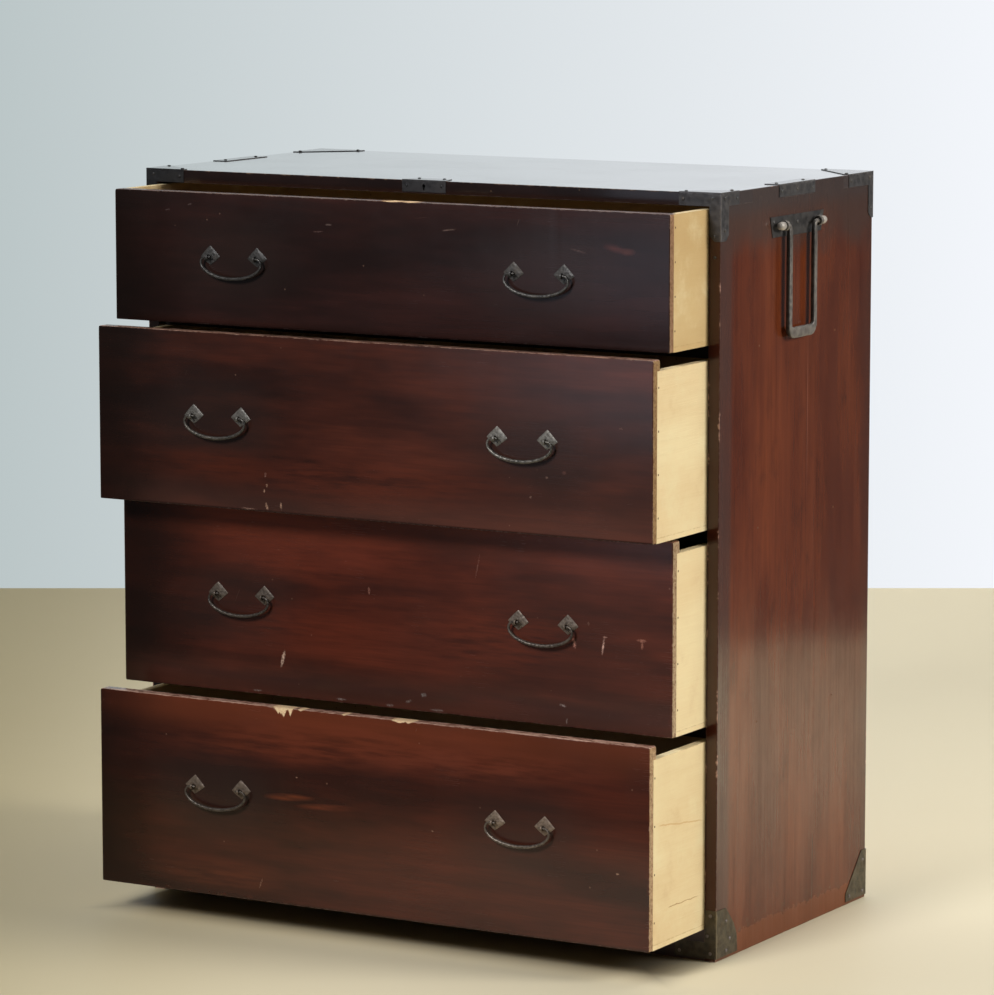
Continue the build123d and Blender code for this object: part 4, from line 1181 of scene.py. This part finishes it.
def front_lacquer(number, box):
    low, high = box
    dark, warm = front_tones[number]
    finish = lacquered(f"front_lacquer_{number}", "XYZ", box, dark, warm, "a58068", 0.20,
                       edge_wear_share[number])
    wires = finish.wires
    place = finish.place
    z = finish.z
    slow = wires.noise(place, 5.0, 4.0, 0.6)
    shaded_end = slow * 0.16 + finish.x
    shade_stop = low.x + painted_shade_reach[number]
    # Painted shade: the left end is darker, up to the reach.
    finish.paint(shaded_end.fade(shade_stop, shade_stop - 0.18, 0.0, 0.85), "0f0704")
    away_from_end = shaded_end.fade(low.x + 0.06, low.x + 0.24)
    # Painted sheen: greyer brown towards the bottom edge.
    low_painted_sheen = z.fade(low.z + 0.060, low.z, 0.0, low_painted_sheen_share[number])
    finish.paint(low_painted_sheen * away_from_end, "6a463a")
    top_band = z.fade(high.z - 0.060, high.z - 0.010, 0.0, top_band_share[number])
    finish.paint(top_band * away_from_end, "7a3a1e")
    # Painted sheen: greyer towards the right end.
    if number in (2, 3):
        finish.paint(finish.x.fade(-0.1, 0.4, 0.0, 0.08), "80625a")
    finish.paint(z.fade(low.z + 0.004, low.z + 0.001) * lower_edge_shade[number], dark)
    for label in ("left", "right"):
        hand = pivot_of(f"drawer_{number}_bail_{label}_swing") - Vector((0.0, 0.0, 0.012))
        away = wires.vector("MULTIPLY", wires.vector("SUBTRACT", place, hand), (0.8, 0.0, 1.2))
        halo = (slow * -0.06 + wires.length(away)).fade(grime_reach, 0.0)
        finish.paint(halo * 0.45, "251c18")

    def oval(tree, half_depth, x, z, half_long, half_wide, degrees):
        return wires.group(tree, {
            "Position": place, "Centre": (x, low.y, low.z + z),
            "Half Size": (half_long, half_depth, half_wide), "Turn": math.radians(degrees)})["Mask"]

    for *shape, colour in stains[number]:
        finish.paint(oval(stain, 1.0, *shape) * 0.6, colour)
    for *shape, colour in scars[number]:
        mark = oval(chip_mark, 0.004, *shape)
        finish.paint(mark, colour)
        finish.roughen(mark, 0.3)
        finish.lift(mark, -0.6)
    # The ends and the top edge are worn through, the top edge paler also as painted sheen, and splinters
    # have come off the top edge.
    end = abs(finish.facing("X")) > 0.7
    facing_z = finish.facing("Z")
    grime = wires.noise(place, 260.0, 4.0, 0.7).fade(0.40, 0.70)
    finish.paint(end * 0.92, wires.mix(grime, front_end_tones[number], "7a583c"))
    # The top edge's colour is wear and painted sheen.
    rubbed_and_sheen = wires.streaks(place, (60.0, 200.0, 200.0), 4.0, 0.7).fade(0.34, 0.60)
    finish.paint((facing_z > 0.6) * rubbed_and_sheen, top_edge_wear_and_sheen_tones[number])
    wood_stain = wires.noise(place, 420.0, 4.0, 0.7).fade(0.40, 0.65)
    torn_wood = wires.mix(wood_stain, bare_wood, "c99d7c")
    for widening, colour in ((1.15, "7a4a2a"), (1.0, torn_wood)):
        for x, half_length, depth in tears[number]:
            values = {"Position": place, "Centre": (x, low.y, high.z),
                      "Half Length": half_length * widening, "Depth": depth * widening}
            torn = wires.group(torn_edge, values)["Mask"]
            finish.paint(torn, colour)
            finish.roughen(torn, 0.5)
            finish.lift(torn, -1.0)
    # The inner face and the laps for the sides are bare wood.
    behind = finish.y > low.y + front_leaf * 0.5
    finish.paint(behind * (facing_z < 0.6) * (1.0 - end), "6e4c2e")
    return finish.done(0.00006, specular=shaded_end.fade(low.x + 0.06, low.x + 0.24, 0.24, 0.4))


def drawer_front(number):
    node = f"drawer_{number}_front"
    low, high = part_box(node)
    piece = worn_board(f"worn_front_{number}", low, high, number, 0.0009, chips[number])
    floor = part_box(f"drawer_{number}_bottom")[1].z
    side_low, side_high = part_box(f"drawer_{number}_side_right")
    lap = low.y + front_leaf
    past = 0.01                    # the cuts run this far past the board
    left, right, beyond = low.x - past, high.x + past, high.y + past
    laps = [(Vector((left, lap, low.z - past)), Vector((right, beyond, floor)))]
    for start, end in ((left, -side_low.x), (side_low.x, right)):
        laps.append((Vector((start, lap, floor - 0.001)), Vector((end, beyond, side_high.z))))
    if number == 1:
        # The lock bolt drops into a pocket in the top edge when the drawer is closed.
        bolt_low, bolt_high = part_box("lock_bolt")
        plate_sheet = 0.001
        pocket_depth = 0.007
        play = Vector((0.0003, 0.0003, 0.0))
        shift = Vector((0.0, low.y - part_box("lock_plate")[0].y - plate_sheet, 0.0))
        pocket_low = bolt_low + shift - play
        pocket_low.z = high.z - pocket_depth
        laps.append((pocket_low, bolt_high + shift + play))
    cut_boxes(piece, laps)
    piece.data.materials.clear()
    piece.data.materials.append(front_lacquer(number, (low, high)))
    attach(piece, f"drawer_{number}")
    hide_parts(node)


for number in (1, 2, 3, 4):
    drawer_front(number)

# ---- Drawer boxes ----
# Planed paulownia, pale and never finished. The sides are let into the front, the bottom is
# pegged up from below, and square pegs lock every joint.

inner_shade_tone = "6e4226"
inner_shade_share = {1: 0.20, 2: 0.38, 3: 0.45, 4: 0.32}
# Splits are (Y and Z of one end, Y and Z of the other, half width, colour).
side_splits = {"drawer_4_side_right": [(-0.364, 0.207, -0.230, 0.191, 0.0015, "d0ac78"),
                                       (-0.336, 0.092, -0.243, 0.090, 0.0009, "ac8656")]}


def paulownia(board_name, axes, inward, face, browned_and_shaded, pale, deep):
    """Planed boards; the faces inside the drawer are darker, turned brown and painted with shade, more so
    away from the front.
    """
    finish = Finish(board_name + "_paulownia", axes, pale)
    wires = finish.wires
    grain = finish.grain(0.017, 0.09)
    finish.paint(grain["Cloud"] * 0.6, deep)
    finish.paint(grain["Rings"] * 0.06, "c39c66")
    finish.paint(grain["Fibre"] * 0.09, "cda873")
    patch = wires.noise(finish.place, 14.0, 5.0, 0.65)
    finish.paint(patch.fade(0.52, 0.75) * 0.25, "b98a58")
    finish.paint(patch.fade(0.52, 0.26) * 0.36, "ece2b6")
    marks = finish.scuffs(0.6)
    finish.paint(marks["Nicks"] * 0.7, "5d4327")
    finish.paint(marks["Scratches"] * 0.25, "f3e0b4")
    finish.paint(finish.wear(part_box(board_name), 0.0016, 90.0) * 0.35, "a9854f")
    for start_y, start_z, end_y, end_z, half_width, colour in side_splits.get(board_name, []):
        along = (finish.y - start_y) / (end_y - start_y)
        level = along * (end_z - start_z) + start_z
        level = wires.noise(finish.place, 60.0) * 0.006 + level
        length = along.fade(0.0, 0.1) * along.fade(1.0, 0.8)
        finish.paint(abs(finish.z - level).fade(half_width, half_width * 0.2) * length, colour)
    # Painted highlight: faces that look up are paler.
    finish.paint(facing_up(finish) * 0.4, "f0e2b8")
    # Painted shade with browning: inside faces darker away from the front.
    shade = finish.y.fade(face + 0.02, face + 0.12, browned_and_shaded * 0.4, browned_and_shaded)
    finish.paint((wires.dot(wires.normal(), inward) > 0.7) * shade, inner_shade_tone)
    planed(finish, grain, 0.62)
    return finish.done(0.00025, specular=0.4)


# The first drawer's boards are tanner, and darker as painted shade.
kiri_tones = {1: ("cbae7b", "b99863"), 2: ("ead6a8", "dec191"),
              3: ("ead6a8", "dec191"), 4: ("e8d4a6", "dabd8d")}
for number in (1, 2, 3, 4):
    start = f"drawer_{number}_"
    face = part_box(start + "front")[0].y
    for board, axes, inward in (("side_left", "YXZ", (1, 0, 0)), ("side_right", "YXZ", (-1, 0, 0)),
                                ("back", "XYZ", (0, -1, 0)), ("bottom", "XZY", (0, 0, 1))):
        wood = paulownia(start + board, axes, inward, face, inner_shade_share[number], *kiri_tones[number])
        dress(start + board, wood)
    dress(start + "pegs", peg_end_grain)

# ---- Drawer handles ----
# Each handle hangs in two split eyes that run through a four-pointed plate and the front,
# and are bent over inside. The bail is forged thicker in the middle, its ends turned inwards.

plate_half_width = 0.0160
plate_rise = 0.0156
plate_drop = 0.0120
plate_thickness = 0.0010
plate_bow = 1.05                   # one gives straight sides between the tips, more bows them out
eye_standoff = 0.008
eye_spacing = 0.0764
bail_drop = 0.0290

front_face = {number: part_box(f"drawer_{number}_front")[0].y for number in (1, 2, 3, 4)}


def handle_spots(number):
    """Where the four eyes of a drawer cross its front face."""
    spots = []
    for label in ("left", "right"):
        pivot = pivot_of(f"drawer_{number}_bail_{label}_swing")
        for end in (-1.0, 1.0):
            place = Vector((pivot.x + end * eye_spacing / 2, front_face[number], pivot.z))
            spots.append((place, Vector((0.0, 0.0, 1.0))))
    return spots


def plate_radius(angle):
    """Distance from the eye to the plate's edge, between its four tips."""
    c, s = abs(math.cos(angle)), abs(math.sin(angle))
    tall = plate_rise if math.sin(angle) > 0 else plate_drop
    return 1.0 / ((c / plate_half_width) ** plate_bow + (s / tall) ** plate_bow) ** (1.0 / plate_bow)


def plate_blank():
    """Four-pointed plate on Y = 0, slightly domed, with a filed edge."""
    sides = 48
    highest = 0.0012
    sections = []
    for share, height in ((1.0, 0.0), (1.0, 0.45), (0.93, 0.95), (0.6, 1.1), (0.28, 1.2), (0.13, 1.2)):
        section = []
        for step in range(sides):
            angle = math.tau * step / sides
            radius = plate_radius(angle) * share
            height_here = -plate_thickness * height * (0.97 + 0.08 * wavering(angle, share * 9, 2.0))
            section.append(Vector((radius * math.cos(angle), max(height_here, -highest),
                                   radius * math.sin(angle))))
        sections.append(section)
    return forged_piece("plate_blank", *skin(sections))


def bail_stations():
    """Right half of the bow as (x, z, tangent x, tangent z, radius), from the turned-in end down."""
    eye = eye_spacing / 2
    start = eye + 0.0032
    bend = 0.0075
    across = start + bend
    deep = bail_drop - bend
    pin = 0.0016
    grip = 0.0026
    stations = [(eye - 0.0050, 0.0, 1.0, 0.0, pin * 0.75)]
    for x in (eye - 0.0044, eye, start - 0.0008):
        stations.append((x, 0.0, 1.0, 0.0, pin))
    for degrees in (12, 30, 50, 70, 90):
        angle = math.radians(degrees)
        stations.append((start + bend * math.sin(angle), bend * math.cos(angle) - bend,
                         math.cos(angle), -math.sin(angle), pin * (1.0 + 0.05 * degrees / 90)))
    for degrees in (8, 16, 26, 36, 46, 56, 66, 76, 85):
        angle = math.radians(degrees)
        tangent = Vector((-across * math.sin(angle), -deep * math.cos(angle))).normalized()
        radius = pin * 1.05 + (grip - pin * 1.05) * math.sin(angle)
        stations.append((across * math.cos(angle), -bend - deep * math.sin(angle), *tangent, radius))
    return stations


def handle_finish(name, number, dark, grey, metal, roughness):
    """Worn iron of one drawer's handles, painted darker towards the left as shade."""
    low = Vector((-1.0, front_face[number] - 0.02, 0.0))
    box = (low, low + Vector((2.0, 1.0, 2.0)))
    finish = iron(name, dark, grey, "54483b", box, 0.004, 0.0001, roughness)
    pits = finish.wires.noise(finish.place, 420.0, 3.0, 0.7)
    finish.paint(pits.fade(0.50, 0.66) * 0.35, "26221e")
    # Painted shade: darker towards the left.
    finish.paint(finish.x.fade(0.15, -0.15, 0.0, 0.32), "131110")
    return finish.done(0.0005, metal=metal)


handle_tones = {1: ("3e3c3a", "6e6a65"), 2: ("66625b", "9e988e"),
                3: ("5b4f45", "958677"), 4: ("6c5b4d", "a08d7a")}
bail_tones = {1: ("383634", "86827b"), 2: ("45423d", "a19a8e"),
              3: ("3f3833", "8f8478"), 4: ("463d35", "a09284")}


def drawer_bail(number, label, bail_iron):
    pivot = pivot_of(f"drawer_{number}_bail_{label}_swing")
    out = Vector((0.0, 1.0, 0.0))
    sections = []
    for x, z, tx, tz, radius in with_other_half(bail_stations()):
        centre = pivot + Vector((x, 0.0, z))
        across = Vector((-tz, 0.0, tx))
        sections.append(ring_points(centre, across, out, radius, radius, 0.12, 14, 0.00018))
    piece = forged_piece(f"forged_bail_{number}_{label}", *skin(sections), bail_iron)
    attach(piece, f"drawer_{number}_bail_{label}")
    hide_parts(f"drawer_{number}_bail_{label}")


plate_master = plate_blank()
eye_master = forged_piece("eye_blank", *split_eye(
    standoff=eye_standoff, ring_centre=0.0030, ring_half=0.00118, ring_width=0.0032,
    shank_half=0.0015, leg_depth=0.01875, leg_length=0.0090))
for number in (1, 2, 3, 4):
    handle_iron = handle_finish(f"handle_iron_{number}", number, *handle_tones[number], 0.45, 0.46)
    bail_iron = handle_finish(f"bail_iron_{number}", number, *bail_tones[number], 0.6, 0.36)
    spots = handle_spots(number)
    plates = set_out(f"pointed_plates_{number}", spots, plate_master, handle_iron,
                     turn=(0.0, 0.05, 0.0), size_spread=0.03, seed=number)
    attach(plates, f"drawer_{number}")
    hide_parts(f"drawer_{number}_handle_plates")
    eyes = set_out(f"split_eyes_{number}", spots, eye_master, handle_iron,
                   turn=(0.0, 0.0, 0.0), size_spread=0.0, seed=number)
    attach(eyes, f"drawer_{number}")
    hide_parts(f"drawer_{number}_handle_eyes")
    for label in ("left", "right"):
        drawer_bail(number, label, bail_iron)
bpy.data.objects.remove(plate_master)
bpy.data.objects.remove(eye_master)
